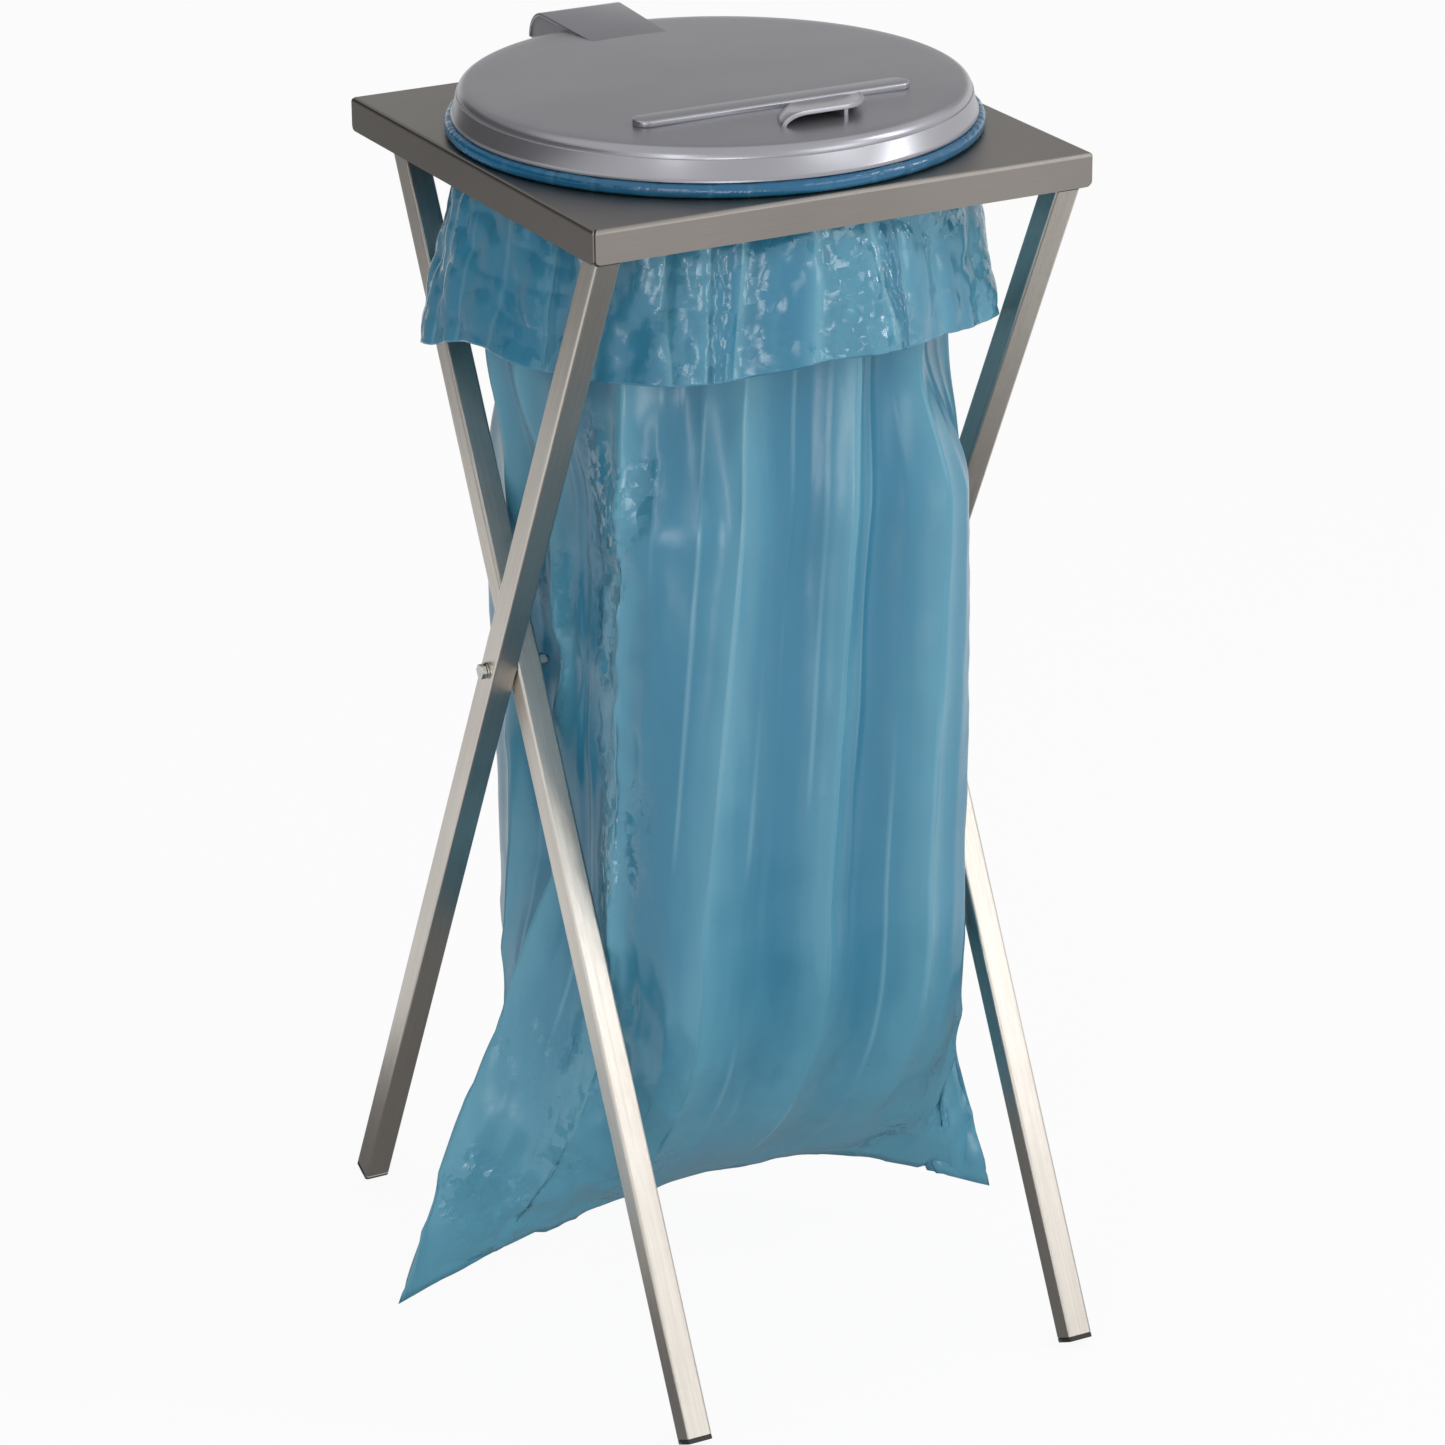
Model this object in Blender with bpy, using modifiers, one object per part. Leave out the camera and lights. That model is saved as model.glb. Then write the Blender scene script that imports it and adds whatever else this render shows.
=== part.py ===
"""Bin bag holder: a steel tray on two crossed pairs of square tubes, with a bag hung over a
plastic ring and a hinged plastic lid.

Metres, +Z up, with the front facing -Y. The origin is on the floor in the middle of the whole,
bag included. The bag hangs further out to the left, so the stand is right of the origin.
"""
import math

import bmesh
import bpy
from mathutils import Matrix, Vector

# How far the stand's middle is right of the origin
STAND_X = 0.033

# Tray, folded from one sheet
TRAY_WIDTH = 0.400
TRAY_DEPTH = 0.400
TRAY_TOP = 0.920
SHEET = 0.0012
FLANGE = 0.025
BEND_RADIUS = 0.003
FLANGE_SETBACK = 0.0015
CORNER_RELIEF = 0.001
FLANGE_CORNER_RADIUS = 0.004
TRAY_RIM = 0.019

# Legs, four equal square tubes crossed in pairs
TUBE = 0.020
TUBE_WALL = 0.0012
TUBE_CORNER = 0.002
TUBE_SPACING = 0.0006
CROSS_HEIGHT = 0.530
LEG_INSET = 0.0055
LEG_TOP_INSET = 0.018
LEG_DROP = 0.0035
PLUG_LENGTH = 0.020
CAP_THICKNESS = 0.0035
CAP_EDGE = 0.0008
HEEL_DEPTH = 0.0012

# Threaded stud that holds each leg's connector under the tray
STUD_RADIUS = 0.003
STUD_LENGTH = 0.014
STUD_SHIFT = 0.004

# Bolt through each crossing
BOLT_RADIUS = 0.003
BOLT_HEAD_ACROSS = 0.010
BOLT_HEAD_CHAMFER = 0.0004
BOLT_HEAD_HEIGHT = 0.004
BOLT_NUT_GRIP = 0.005
CROSS_WASHER_RADIUS = 0.0062
CROSS_WASHER_THICKNESS = 0.0012
CAP_NUT_HEIGHT = 0.005

# Ring that the bag is pulled over
RING_OVERLAP = 0.015
RING_LEDGE = 0.009
RING_HEIGHT = 0.008
RING_EDGE = 0.003

# Bag
FILM = 0.0006
FILM_HOLE_CLEARANCE = 0.0008
BAG_LEG_CLEARANCE = 0.0034
BAG_NUT_CLEARANCE = 0.0045
BAG_DENT_REACH = 0.030
BAG_DENT_SPAN = 0.075
BAG_DEPTH_INSET = 0.004
BAG_FORWARD = 0.010
BAG_SQUARENESS = 5
BAG_ROUND_LENGTH = 0.150
BAG_TURN_LENGTH = 0.110
BAG_SPREAD_BELOW_CROSS = 0.170
BAG_LEFT_CORNER_REACH = 0.132
BAG_RIGHT_CORNER_REACH = 0.066
BAG_RIGHT_CORNER_FORWARD = 0.045
BAG_HEM_HEIGHT = 0.074
BAG_HEM_DROP = 0.048
BAG_HEM_HALF_THICKNESS = 0.004
BAG_FOLD_DEPTH = 0.015

# Upright folds of the bag, from the right round the back: how far each crest stands from its even
# place, and how much it leans with height, in degrees and in degrees per metre
BAG_CRESTS = ((4, 0), (3, 8), (2, -10), (3, 6), (-2, -8), (4, 10),
              (0, 6), (3, 14), (-3, 30), (-1, 24), (-3, 12), (-3, 6))

# Cuff, the part of the bag that is folded out over the ring
CUFF_LENGTH = 0.129
CUFF_RADIUS = 0.206
CUFF_WAVES = 3
CUFF_WAVE_HEIGHT = 0.008
CUFF_WAVE_START = math.radians(84)
CUFF_FLUTES = 9
CUFF_FLUTE_DEPTH = 0.008
CUFF_TIP_ANGLE = 158
CUFF_TIP_WIDTH = 18
CUFF_TIP_DROP = 0.034
CUFF_TIP_REACH = 0.010
CUFF_LEG_CLEARANCE = 0.002
CUFF_LEG_MARGIN = 0.014
CUFF_LEG_BEND = 0.020

# Lid, one moulding with its bar, grip and hinge arm
LID_SETBACK = 0.004
LID_LIP_HEIGHT = 0.0022
LID_LIP_WIDTH = 0.0014
LID_WALL = 0.0022
SKIRT_TAPER = 0.0023
SKIRT_HEIGHT = 0.0160
LID_STEP = 0.0010
SHOULDER_RADIUS = 0.0076
DOME_RISE = 0.0023
BAR_LENGTH = 0.222
BAR_WIDTH = 0.020
BAR_HEIGHT = 0.0040
BAR_SETBACK = 0.104
BAR_EDGE = 0.001
GRIP_LEFT = 0.022
GRIP_RIGHT = 0.055
GRIP_WALL_RIGHT = 0.031
GRIP_RISE_LENGTH = 0.022
GRIP_HEIGHT = 0.0112
GRIP_REACH = 0.054
GRIP_WALL = 0.0024
ARM_WIDTH = 0.068
ARM_WALL = 0.0025
ARM_OVERLAP = 0.066
ARM_CURL_RADIUS = 0.022

# Hinge
HINGE_OVERHANG = 0.015
HINGE_RISE = 0.0166
PIN_RADIUS = 0.0025
PIN_HEAD_RADIUS = 0.0042
PIN_HEAD_THICKNESS = 0.0015
PIN_END = 0.0015
KNUCKLE_RADIUS = 0.008
BRACKET_BASE = 0.003
BRACKET_HEIGHT = 0.021
BRACKET_DROP = 0.0015
EAR_THICKNESS = 0.004
CLIP_RADIUS = 0.0055
CLIP_THICKNESS = 0.001
SCREW_RADIUS = 0.0025
SCREW_HEAD_RADIUS = 0.0045
SCREW_HEAD_HEIGHT = 0.0026
SCREW_SPACING = 0.026
NUT_ACROSS = 0.008
NUT_HEIGHT = 0.004

# Facets round the lid, ring, bag and hole, the same for all so that their gaps stay even
ROUND_STEPS = 60

# Clearances, and how far a joined or cutting shape goes past the face it meets
GAP = 0.0003
PIN_CLEARANCE = 0.0003
SINK = 0.001

# Places that follow from the sizes above
TRAY_UNDERSIDE = TRAY_TOP - SHEET
FLANGE_BOTTOM = TRAY_TOP - FLANGE
FLANGE_INSIDE = TRAY_DEPTH / 2 - SHEET
HOLE_RADIUS = min(TRAY_WIDTH, TRAY_DEPTH) / 2 - TRAY_RIM
OUTER_LEG_X = TRAY_WIDTH / 2 - LEG_INSET - TUBE / 2
INNER_LEG_X = OUTER_LEG_X - TUBE - TUBE_SPACING
LEG_LEAN = math.atan2(TRAY_DEPTH / 2 - LEG_TOP_INSET, FLANGE_BOTTOM - CROSS_HEIGHT)
LEAN_SIN = math.sin(LEG_LEAN)
LEAN_COS = math.cos(LEG_LEAN)
LEG_UP = (FLANGE_BOTTOM - LEG_DROP + TUBE / 2 * LEAN_SIN - CROSS_HEIGHT) / LEAN_COS
LEG_DOWN = (CROSS_HEIGHT + HEEL_DEPTH - TUBE / 2 * LEAN_SIN) / LEAN_COS
NUT_DOME_RADIUS = BOLT_HEAD_ACROSS / 2 - BOLT_HEAD_CHAMFER
NUT_REACH = 2 * GAP + CROSS_WASHER_THICKNESS + CAP_NUT_HEIGHT + NUT_DOME_RADIUS
RING_OUTER_RADIUS = HOLE_RADIUS + RING_OVERLAP
RING_INNER_RADIUS = HOLE_RADIUS - RING_LEDGE
RING_BOTTOM = TRAY_TOP + 2 * GAP + FILM
RING_TOP = RING_BOTTOM + RING_HEIGHT
FILM_OFFSET = GAP + FILM / 2
BAG_HALF_WIDTH = INNER_LEG_X - TUBE / 2 - BAG_LEG_CLEARANCE
BAG_HALF_DEPTH = RING_INNER_RADIUS - BAG_DEPTH_INSET
BAG_DENT = NUT_REACH + BAG_NUT_CLEARANCE - BAG_LEG_CLEARANCE
BAG_SQUARE_TOP = TRAY_TOP - BAG_ROUND_LENGTH
BAG_SQUARE_HEIGHT = BAG_SQUARE_TOP - BAG_TURN_LENGTH
BAG_SPREAD_HEIGHT = CROSS_HEIGHT - BAG_SPREAD_BELOW_CROSS
LID_RADIUS = RING_OUTER_RADIUS - LID_SETBACK
SKIRT_FOOT_RADIUS = LID_RADIUS - LID_LIP_WIDTH
SKIRT_TOP_RADIUS = SKIRT_FOOT_RADIUS - SKIRT_TAPER
LID_BOTTOM = RING_TOP + 2 * GAP + FILM
SKIRT_BOTTOM = LID_BOTTOM + LID_LIP_HEIGHT
SKIRT_TOP = LID_BOTTOM + SKIRT_HEIGHT
SHOULDER_TOP = SKIRT_TOP + SHOULDER_RADIUS
DOME_EDGE_RADIUS = SKIRT_TOP_RADIUS - LID_STEP - SHOULDER_RADIUS
DOME_TOP = SHOULDER_TOP + DOME_RISE
BAR_FORWARD = LID_RADIUS - BAR_SETBACK
ARM_START = LID_RADIUS - ARM_OVERLAP
HINGE_BACK = TRAY_DEPTH / 2 + HINGE_OVERHANG
HINGE_HEIGHT = TRAY_TOP + HINGE_RISE

PARTS = "bin_bag_holder"
CUTTERS = "cutters"

COLOURS = {
    "brushed_steel": ((0.42, 0.40, 0.38, 1.0), 0.34, 1.0),
    "bright_steel": ((0.62, 0.61, 0.59, 1.0), 0.25, 1.0),
    "black_plastic": ((0.012, 0.012, 0.013, 1.0), 0.45, 0.0),
    "silver_plastic": ((0.25, 0.25, 0.27, 1.0), 0.38, 0.0),
    "grey_plastic": ((0.20, 0.21, 0.22, 1.0), 0.50, 0.0),
    "blue_film": ((0.03, 0.22, 0.36, 1.0), 0.22, 0.0),
}


def clear_scene():
    for item in list(bpy.data.objects):
        bpy.data.objects.remove(item, do_unlink=True)


def make_collections():
    for name in (PARTS, CUTTERS):
        bpy.context.scene.collection.children.link(bpy.data.collections.new(name))


def material_for(item, finish):
    """Give the piece its own material in the named finish."""
    colour, roughness, metallic = COLOURS[finish]
    material = bpy.data.materials.new(item.name)
    material.use_nodes = True
    shader = material.node_tree.nodes["Principled BSDF"]
    shader.inputs["Base Color"].default_value = colour
    shader.inputs["Roughness"].default_value = roughness
    shader.inputs["Metallic"].default_value = metallic
    item.data.materials.clear()
    item.data.materials.append(material)


def add_object(name, mesh, place=(0, 0, 0), turn=(0, 0, 0), parent=None, finish=None):
    """A piece of the product, or a cutter when it has no finish."""
    item = bpy.data.objects.new(name, mesh)
    item.location = place
    item.rotation_euler = turn
    item.parent = parent
    bpy.data.collections[PARTS if finish else CUTTERS].objects.link(item)
    if finish:
        material_for(item, finish)
        mesh.shade_smooth()
        mesh.set_sharp_from_angle(angle=math.radians(30))
    else:
        item.hide_render = True
        item.display_type = "WIRE"
    return item


def mesh_from(name, form):
    """Turn a bmesh into a mesh with its faces pointing out."""
    bmesh.ops.recalc_face_normals(form, faces=form.faces)
    mesh = bpy.data.meshes.new(name)
    form.to_mesh(mesh)
    form.free()
    return mesh


def empty(name, place, turn=(0, 0, 0)):
    frame = bpy.data.objects.new(name, None)
    frame.location = place
    frame.rotation_euler = turn
    bpy.data.collections[PARTS].objects.link(frame)
    return frame


def boolean(item, tool, operation="DIFFERENCE"):
    modifier = item.modifiers.new(operation.lower(), "BOOLEAN")
    modifier.operation = operation
    modifier.solver = "EXACT"
    modifier.object = tool


def arc(centre, radius, start, end, steps):
    """Points along an arc in a plane, from one angle to another in degrees."""
    points = []
    for step in range(steps + 1):
        angle = math.radians(start + (end - start) * step / steps)
        points.append((centre[0] + radius * math.cos(angle), centre[1] + radius * math.sin(angle)))
    return points


def rounded_rectangle(width, height, radius, steps=3):
    points = []
    corners = ((1, 1, 0), (-1, 1, 90), (-1, -1, 180), (1, -1, 270))
    for side_x, side_y, start in corners:
        centre = (side_x * (width / 2 - radius), side_y * (height / 2 - radius))
        points += arc(centre, radius, start, start + 90, steps)
    return points


def outline_mesh(name, outlines, thickness):
    """A flat outline, with any further outlines as holes, thickened about its plane."""
    curve = bpy.data.curves.new(name, "CURVE")
    curve.dimensions = "2D"
    curve.fill_mode = "BOTH"
    curve.extrude = thickness / 2
    for outline in outlines:
        spline = curve.splines.new("POLY")
        spline.points.add(len(outline) - 1)
        for point, place in zip(spline.points, outline):
            point.co = (place[0], place[1], 0, 1)
        spline.use_cyclic_u = True
    holder = bpy.data.objects.new(name, curve)
    bpy.context.scene.collection.objects.link(holder)
    depsgraph = bpy.context.evaluated_depsgraph_get()
    raw = bpy.data.meshes.new_from_object(holder.evaluated_get(depsgraph))
    form = bmesh.new()
    form.from_mesh(raw)
    bmesh.ops.remove_doubles(form, verts=form.verts, dist=0.00001)
    bpy.data.objects.remove(holder, do_unlink=True)
    bpy.data.meshes.remove(raw)
    return mesh_from(name, form)


def side_outline(name, outline, width, place, parent=None, finish=None):
    """An outline in the side view, as (y, z) points from the place, thickened along X."""
    turn = (math.radians(90), 0, math.radians(90))
    return add_object(name, outline_mesh(name, [outline], width), place, turn, parent, finish)


def rod_mesh(name, radius, low, high, sides=20):
    """A cylinder along Z from low to high; with six sides, a hexagon."""
    form = bmesh.new()
    bmesh.ops.create_cone(form, cap_ends=True, segments=sides, radius1=radius, radius2=radius,
                          depth=high - low, matrix=Matrix.Translation((0, 0, (low + high) / 2)))
    return mesh_from(name, form)


def hexagon_mesh(name, across, low, high):
    return rod_mesh(name, across / 2 / math.cos(math.radians(30)), low, high, sides=6)


def turned(name, profile, place, steps, parent=None, finish=None):
    """A profile of (radius, height) points, down the outside and back, turned about Z."""
    form = bmesh.new()
    verts = [form.verts.new((radius, 0, height)) for radius, height in profile]
    pairs = list(zip(verts, verts[1:]))
    if profile[0][0] > 0:
        pairs.append((verts[-1], verts[0]))
    for pair in pairs:
        form.edges.new(pair)
    mesh = bpy.data.meshes.new(name)
    form.to_mesh(mesh)
    form.free()
    item = add_object(name, mesh, place, parent=parent, finish=finish)
    screw = item.modifiers.new("turn", "SCREW")
    screw.steps = steps
    screw.render_steps = steps
    screw.use_merge_vertices = True
    screw.merge_threshold = 0.00001
    screw.use_smooth_shade = True
    return item


def soften(item, width, segments=2):
    bevel = item.modifiers.new("edges", "BEVEL")
    bevel.width = width
    bevel.segments = segments
    bevel.limit_method = "ANGLE"
    bevel.angle_limit = math.radians(50)


# Tray

def fold_point(side, along, out):
    """A point of a flange's blank, folded down: along the edge, and out past the bend line."""
    if side in ("front", "back"):
        half, edge = TRAY_WIDTH / 2, TRAY_DEPTH / 2
    else:
        half, edge = TRAY_DEPTH / 2, TRAY_WIDTH / 2
    bend_length = math.radians(90) * BEND_RADIUS
    angle = min(out / bend_length, 1) * math.radians(90)
    straight = max(out - bend_length, 0)
    away = edge - BEND_RADIUS + BEND_RADIUS * math.sin(angle)
    height = TRAY_TOP - BEND_RADIUS + BEND_RADIUS * math.cos(angle) - straight
    start_half = half - BEND_RADIUS - CORNER_RELIEF
    reach = start_half + (half - FLANGE_SETBACK - start_half) * math.sin(angle)
    place = along * reach
    return {"front": (place, -away, height), "back": (-place, away, height),
            "right": (away, place, height), "left": (-away, -place, height)}[side]


def add_flange(form, side, edge_verts):
    """Fold one flange from its bend line down to its rounded lower corners."""
    bend_length = math.radians(90) * BEND_RADIUS
    bend_steps = 4
    left, right = edge_verts
    for step in range(1, bend_steps + 1):
        out = bend_length * step / bend_steps
        next_left = form.verts.new(fold_point(side, -1, out))
        next_right = form.verts.new(fold_point(side, 1, out))
        form.faces.new((left, right, next_right, next_left))
        left, right = next_left, next_right
    length = bend_length + FLANGE - BEND_RADIUS
    half = TRAY_WIDTH / 2 - FLANGE_SETBACK
    lower = []
    for across, start in ((1, 0), (-1, 90)):
        centre = (across * (half - FLANGE_CORNER_RADIUS), length - FLANGE_CORNER_RADIUS)
        for along, out in arc(centre, FLANGE_CORNER_RADIUS, start, start + 90, 4):
            lower.append(form.verts.new(fold_point(side, along / half, out)))
    form.faces.new([left, right] + lower)


def tray():
    """One square sheet with a round hole and four flanges folded down, open at the corners."""
    form = bmesh.new()
    half_x = TRAY_WIDTH / 2 - BEND_RADIUS
    half_y = TRAY_DEPTH / 2 - BEND_RADIUS
    flange_edges = {}
    outline = []
    for side in ("front", "right", "back", "left"):
        ends = [form.verts.new(fold_point(side, along, 0)) for along in (-1, 1)]
        flange_edges[side] = ends
        outline += ends
        corner = {"front": (1, -1), "right": (1, 1), "back": (-1, 1), "left": (-1, -1)}[side]
        outline.append(form.verts.new((corner[0] * half_x, corner[1] * half_y, TRAY_TOP)))
    edges = [form.edges.new((a, b)) for a, b in zip(outline, outline[1:] + outline[:1])]
    circle = bmesh.ops.create_circle(form, segments=ROUND_STEPS, radius=HOLE_RADIUS,
                                     matrix=Matrix.Translation((0, 0, TRAY_TOP)))["verts"]
    edges += list({edge for vert in circle for edge in vert.link_edges})
    bmesh.ops.triangle_fill(form, edges=edges, use_beauty=True, use_dissolve=False)
    for side, ends in flange_edges.items():
        add_flange(form, side, ends)
    item = add_object("tray", mesh_from("tray", form), finish="brushed_steel")
    sheet = item.modifiers.new("sheet", "SOLIDIFY")
    sheet.thickness = SHEET
    sheet.offset = -1
    sheet.use_even_offset = True
    for side in (-1, 1):
        hole = add_object(f"flange_hole_cutter_{side}",
                          rod_mesh("flange_hole_cutter", SCREW_RADIUS + GAP, -0.01, 0.01),
                          (side * SCREW_SPACING / 2, TRAY_DEPTH / 2, bracket_middle()),
                          (math.radians(90), 0, 0))
        boolean(item, hole)
    return item


# Legs

def leg_frames():
    """An empty on each leg at the crossing bolt, with its Z along the tube."""
    frames = {}
    for side, sign in (("left", -1), ("right", 1)):
        frames[f"outer_{side}"] = empty(f"outer_leg_{side}_frame",
                                        (sign * OUTER_LEG_X, 0, CROSS_HEIGHT), (LEG_LEAN, 0, 0))
        frames[f"inner_{side}"] = empty(f"inner_leg_{side}_frame",
                                        (sign * INNER_LEG_X, 0, CROSS_HEIGHT), (-LEG_LEAN, 0, 0))
    return frames


def bolt_hole_cutter():
    reach = TRAY_WIDTH
    return add_object("bolt_hole_cutter",
                      rod_mesh("bolt_hole_cutter", BOLT_RADIUS + GAP, -reach, reach),
                      (0, 0, CROSS_HEIGHT), (0, math.radians(90), 0))


def legs(frames):
    """Four equal square tubes, cut square at both ends and drilled at the crossing."""
    low = -LEG_DOWN + CAP_THICKNESS + GAP
    outer = rounded_rectangle(TUBE, TUBE, TUBE_CORNER)
    inner = rounded_rectangle(TUBE - 2 * TUBE_WALL, TUBE - 2 * TUBE_WALL, TUBE_CORNER - TUBE_WALL)
    mesh = outline_mesh("leg", [outer, inner], LEG_UP - low)
    hole = bolt_hole_cutter()
    for place, frame in frames.items():
        row, side = place.split("_")
        leg = add_object(f"{row}_leg_{side}", mesh.copy(), (0, 0, (LEG_UP + low) / 2),
                         parent=frame, finish="bright_steel")
        boolean(leg, hole)


def plug_mesh(name, low, high):
    """The part of a plastic end piece that is pushed into the tube."""
    side = TUBE - 2 * TUBE_WALL - 2 * GAP
    mesh = outline_mesh(name, [rounded_rectangle(side, side, TUBE_CORNER - TUBE_WALL)], high - low)
    mesh.transform(Matrix.Translation((0, 0, (low + high) / 2)))
    return mesh


def foot_caps(frames):
    """Plastic end caps. Each stands on the inner edge of its square end, which is cut level."""
    reach = TRAY_DEPTH
    floor = bmesh.new()
    bmesh.ops.create_cube(floor, size=1)
    bmesh.ops.scale(floor, vec=(2 * reach, 2 * reach, 0.1), verts=floor.verts)
    floor_cutter = add_object("floor_cutter", mesh_from("floor_cutter", floor), (0, 0, -0.05))
    shoulder = outline_mesh("foot_cap", [rounded_rectangle(TUBE, TUBE, TUBE_CORNER)], CAP_THICKNESS)
    for place, frame in frames.items():
        row, side = place.split("_")
        cap = add_object(f"foot_cap_{row}_{side}", shoulder.copy(),
                         (0, 0, -LEG_DOWN + CAP_THICKNESS / 2), parent=frame,
                         finish="black_plastic")
        soften(cap, CAP_EDGE)
        plug = add_object(f"foot_plug_{place}_cutter",
                          plug_mesh("foot_plug", 0, PLUG_LENGTH), (0, 0, -LEG_DOWN + CAP_THICKNESS / 2),
                          parent=frame)
        boolean(cap, plug, "UNION")
        boolean(cap, floor_cutter)


def stud_place(place):
    """Where a leg's stud stands under the tray."""
    row, side = place.split("_")
    sign = -1 if side == "left" else 1
    x = sign * (OUTER_LEG_X if row == "outer" else INNER_LEG_X)
    end = (LEG_UP * LEAN_COS + CROSS_HEIGHT, LEG_UP * LEAN_SIN)
    y = (end[1] + STUD_SHIFT) * (-1 if row == "outer" else 1)
    return (x, y, TRAY_UNDERSIDE - GAP)


def top_connectors(frames):
    """Plastic blocks in the tops of the tubes, cut to the inside of the tray, on threaded studs."""
    inside = bmesh.new()
    bmesh.ops.create_cube(inside, size=1)
    height = 0.2
    size = (TRAY_WIDTH - 2 * (SHEET + GAP), TRAY_DEPTH - 2 * (SHEET + GAP), height)
    bmesh.ops.scale(inside, vec=size, verts=inside.verts)
    tray_space = add_object("tray_space_cutter", mesh_from("tray_space_cutter", inside),
                            (0, 0, TRAY_UNDERSIDE - GAP - height / 2))
    soften(tray_space, BEND_RADIUS, 1)
    rise = (TRAY_UNDERSIDE - FLANGE_BOTTOM + TUBE) / LEAN_COS
    block = outline_mesh("top_connector", [rounded_rectangle(TUBE, TUBE, TUBE_CORNER)], rise)
    for place, frame in frames.items():
        row, side = place.split("_")
        connector = add_object(f"top_connector_{row}_{side}", block.copy(),
                               (0, 0, LEG_UP + GAP + rise / 2), parent=frame,
                               finish="black_plastic")
        plug = add_object(f"top_plug_{place}_cutter",
                          plug_mesh("top_plug", -PLUG_LENGTH, 0.002), (0, 0, LEG_UP + GAP),
                          parent=frame)
        boolean(connector, plug, "UNION")
        boolean(connector, tray_space, "INTERSECT")
        hole = add_object(f"stud_hole_{place}_cutter",
                          rod_mesh("stud_hole", STUD_RADIUS + GAP, -STUD_LENGTH - 2 * GAP, 0.01),
                          stud_place(place))
        boolean(connector, hole)
        add_object(f"connector_stud_{row}_{side}",
                   rod_mesh("connector_stud", STUD_RADIUS, -STUD_LENGTH, 0), stud_place(place),
                   finish="bright_steel")


def crossing_bolts():
    """Hexagon bolt, two washers and a domed cap nut through each crossing."""
    outside = OUTER_LEG_X + TUBE / 2
    inside = INNER_LEG_X - TUBE / 2
    washer = CROSS_WASHER_THICKNESS
    for side, sign in (("left", -1), ("right", 1)):
        turn = (0, -sign * math.radians(90), 0)
        axis = empty(f"cross_bolt_{side}_frame", (sign * outside, 0, CROSS_HEIGHT), turn)
        grip = outside - inside
        seat = -GAP - washer - GAP
        nut_seat = grip + GAP + washer + GAP
        bolt = add_object(f"cross_bolt_{side}",
                          rod_mesh("cross_bolt", BOLT_RADIUS, seat - SINK, nut_seat + BOLT_NUT_GRIP),
                          parent=axis, finish="bright_steel")
        head = add_object(f"bolt_head_{side}_cutter",
                          hexagon_mesh("bolt_head", BOLT_HEAD_ACROSS, seat - BOLT_HEAD_HEIGHT, seat),
                          parent=axis)
        boolean(bolt, head, "UNION")
        ring = [arc((0, 0), CROSS_WASHER_RADIUS, 0, 342, 19), arc((0, 0), BOLT_RADIUS + GAP, 0, 342, 19)]
        for name, middle in (("head_washer", -GAP - washer / 2), ("nut_washer", grip + GAP + washer / 2)):
            add_object(f"{name}_{side}", outline_mesh(name, ring, washer), (0, 0, middle),
                       parent=axis, finish="bright_steel")
        dome = [(0, NUT_DOME_RADIUS)] + arc((0, 0), NUT_DOME_RADIUS, 80, 0, 6)
        dome += [(NUT_DOME_RADIUS, -SINK), (0, -SINK)]
        nut = add_object(f"cap_nut_{side}",
                         hexagon_mesh("cap_nut", BOLT_HEAD_ACROSS, nut_seat, nut_seat + CAP_NUT_HEIGHT),
                         parent=axis, finish="bright_steel")
        crown = turned(f"nut_dome_{side}_cutter", dome, (0, 0, nut_seat + CAP_NUT_HEIGHT), 20, axis)
        boolean(nut, crown, "UNION")
        bore = add_object(f"nut_bore_{side}_cutter",
                          rod_mesh("nut_bore", BOLT_RADIUS + GAP, nut_seat - SINK,
                                   nut_seat + BOLT_NUT_GRIP + GAP), parent=axis)
        boolean(nut, bore)


# Ring and bag

def bag_ring():
    """Flat plastic ring with round edges, inside the folded film."""
    top, bottom, edge = RING_HEIGHT, 0, RING_EDGE
    profile = arc((RING_INNER_RADIUS + edge, top - edge), edge, 180, 90, 2)
    profile += arc((RING_OUTER_RADIUS - edge, top - edge), edge, 90, 0, 2)
    profile += arc((RING_OUTER_RADIUS - edge, bottom + edge), edge, 0, -90, 2)
    profile += arc((RING_INNER_RADIUS + edge, bottom + edge), edge, -90, -180, 2)
    return turned("bag_ring", profile, (0, 0, RING_BOTTOM), ROUND_STEPS, finish="grey_plastic")


def smooth(value):
    value = min(max(value, 0), 1)
    return value * value * (3 - 2 * value)


def mix(start, end, share):
    return start + (end - start) * share


def behind_leg(x, y, height):
    """Draw a point of the cuff in behind the inner face of a leg that it would meet."""
    leg_x = OUTER_LEG_X if y < 0 else INNER_LEG_X
    face = leg_x - TUBE / 2 - CUFF_LEG_CLEARANCE
    leg_y = (height - CROSS_HEIGHT) * LEAN_SIN / LEAN_COS
    past = abs(abs(y) - leg_y) - TUBE / 2 / LEAN_COS - CUFF_LEG_MARGIN
    nearness = smooth(1 - past / CUFF_LEG_BEND)
    return mix(x, math.copysign(min(abs(x), face), x), nearness)


def fold_place(column, height, fold_start):
    """The angle of a column of points, and how deep it lies in its fold, from 0 on a crest to 1."""
    spacing = 360 / len(BAG_CRESTS)
    crest, share = divmod(column * len(BAG_CRESTS) / ROUND_STEPS, 1)
    shift, lean = BAG_CRESTS[int(crest) % len(BAG_CRESTS)]
    next_shift, next_lean = BAG_CRESTS[(int(crest) + 1) % len(BAG_CRESTS)]
    above = height - BAG_SPREAD_HEIGHT
    near = shift + lean * above
    far = next_shift + next_lean * above
    angle = spacing * (crest + share) + mix(near, far, share) * fold_start
    return angle, 1 - abs(2 * share - 1) ** 2


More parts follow.
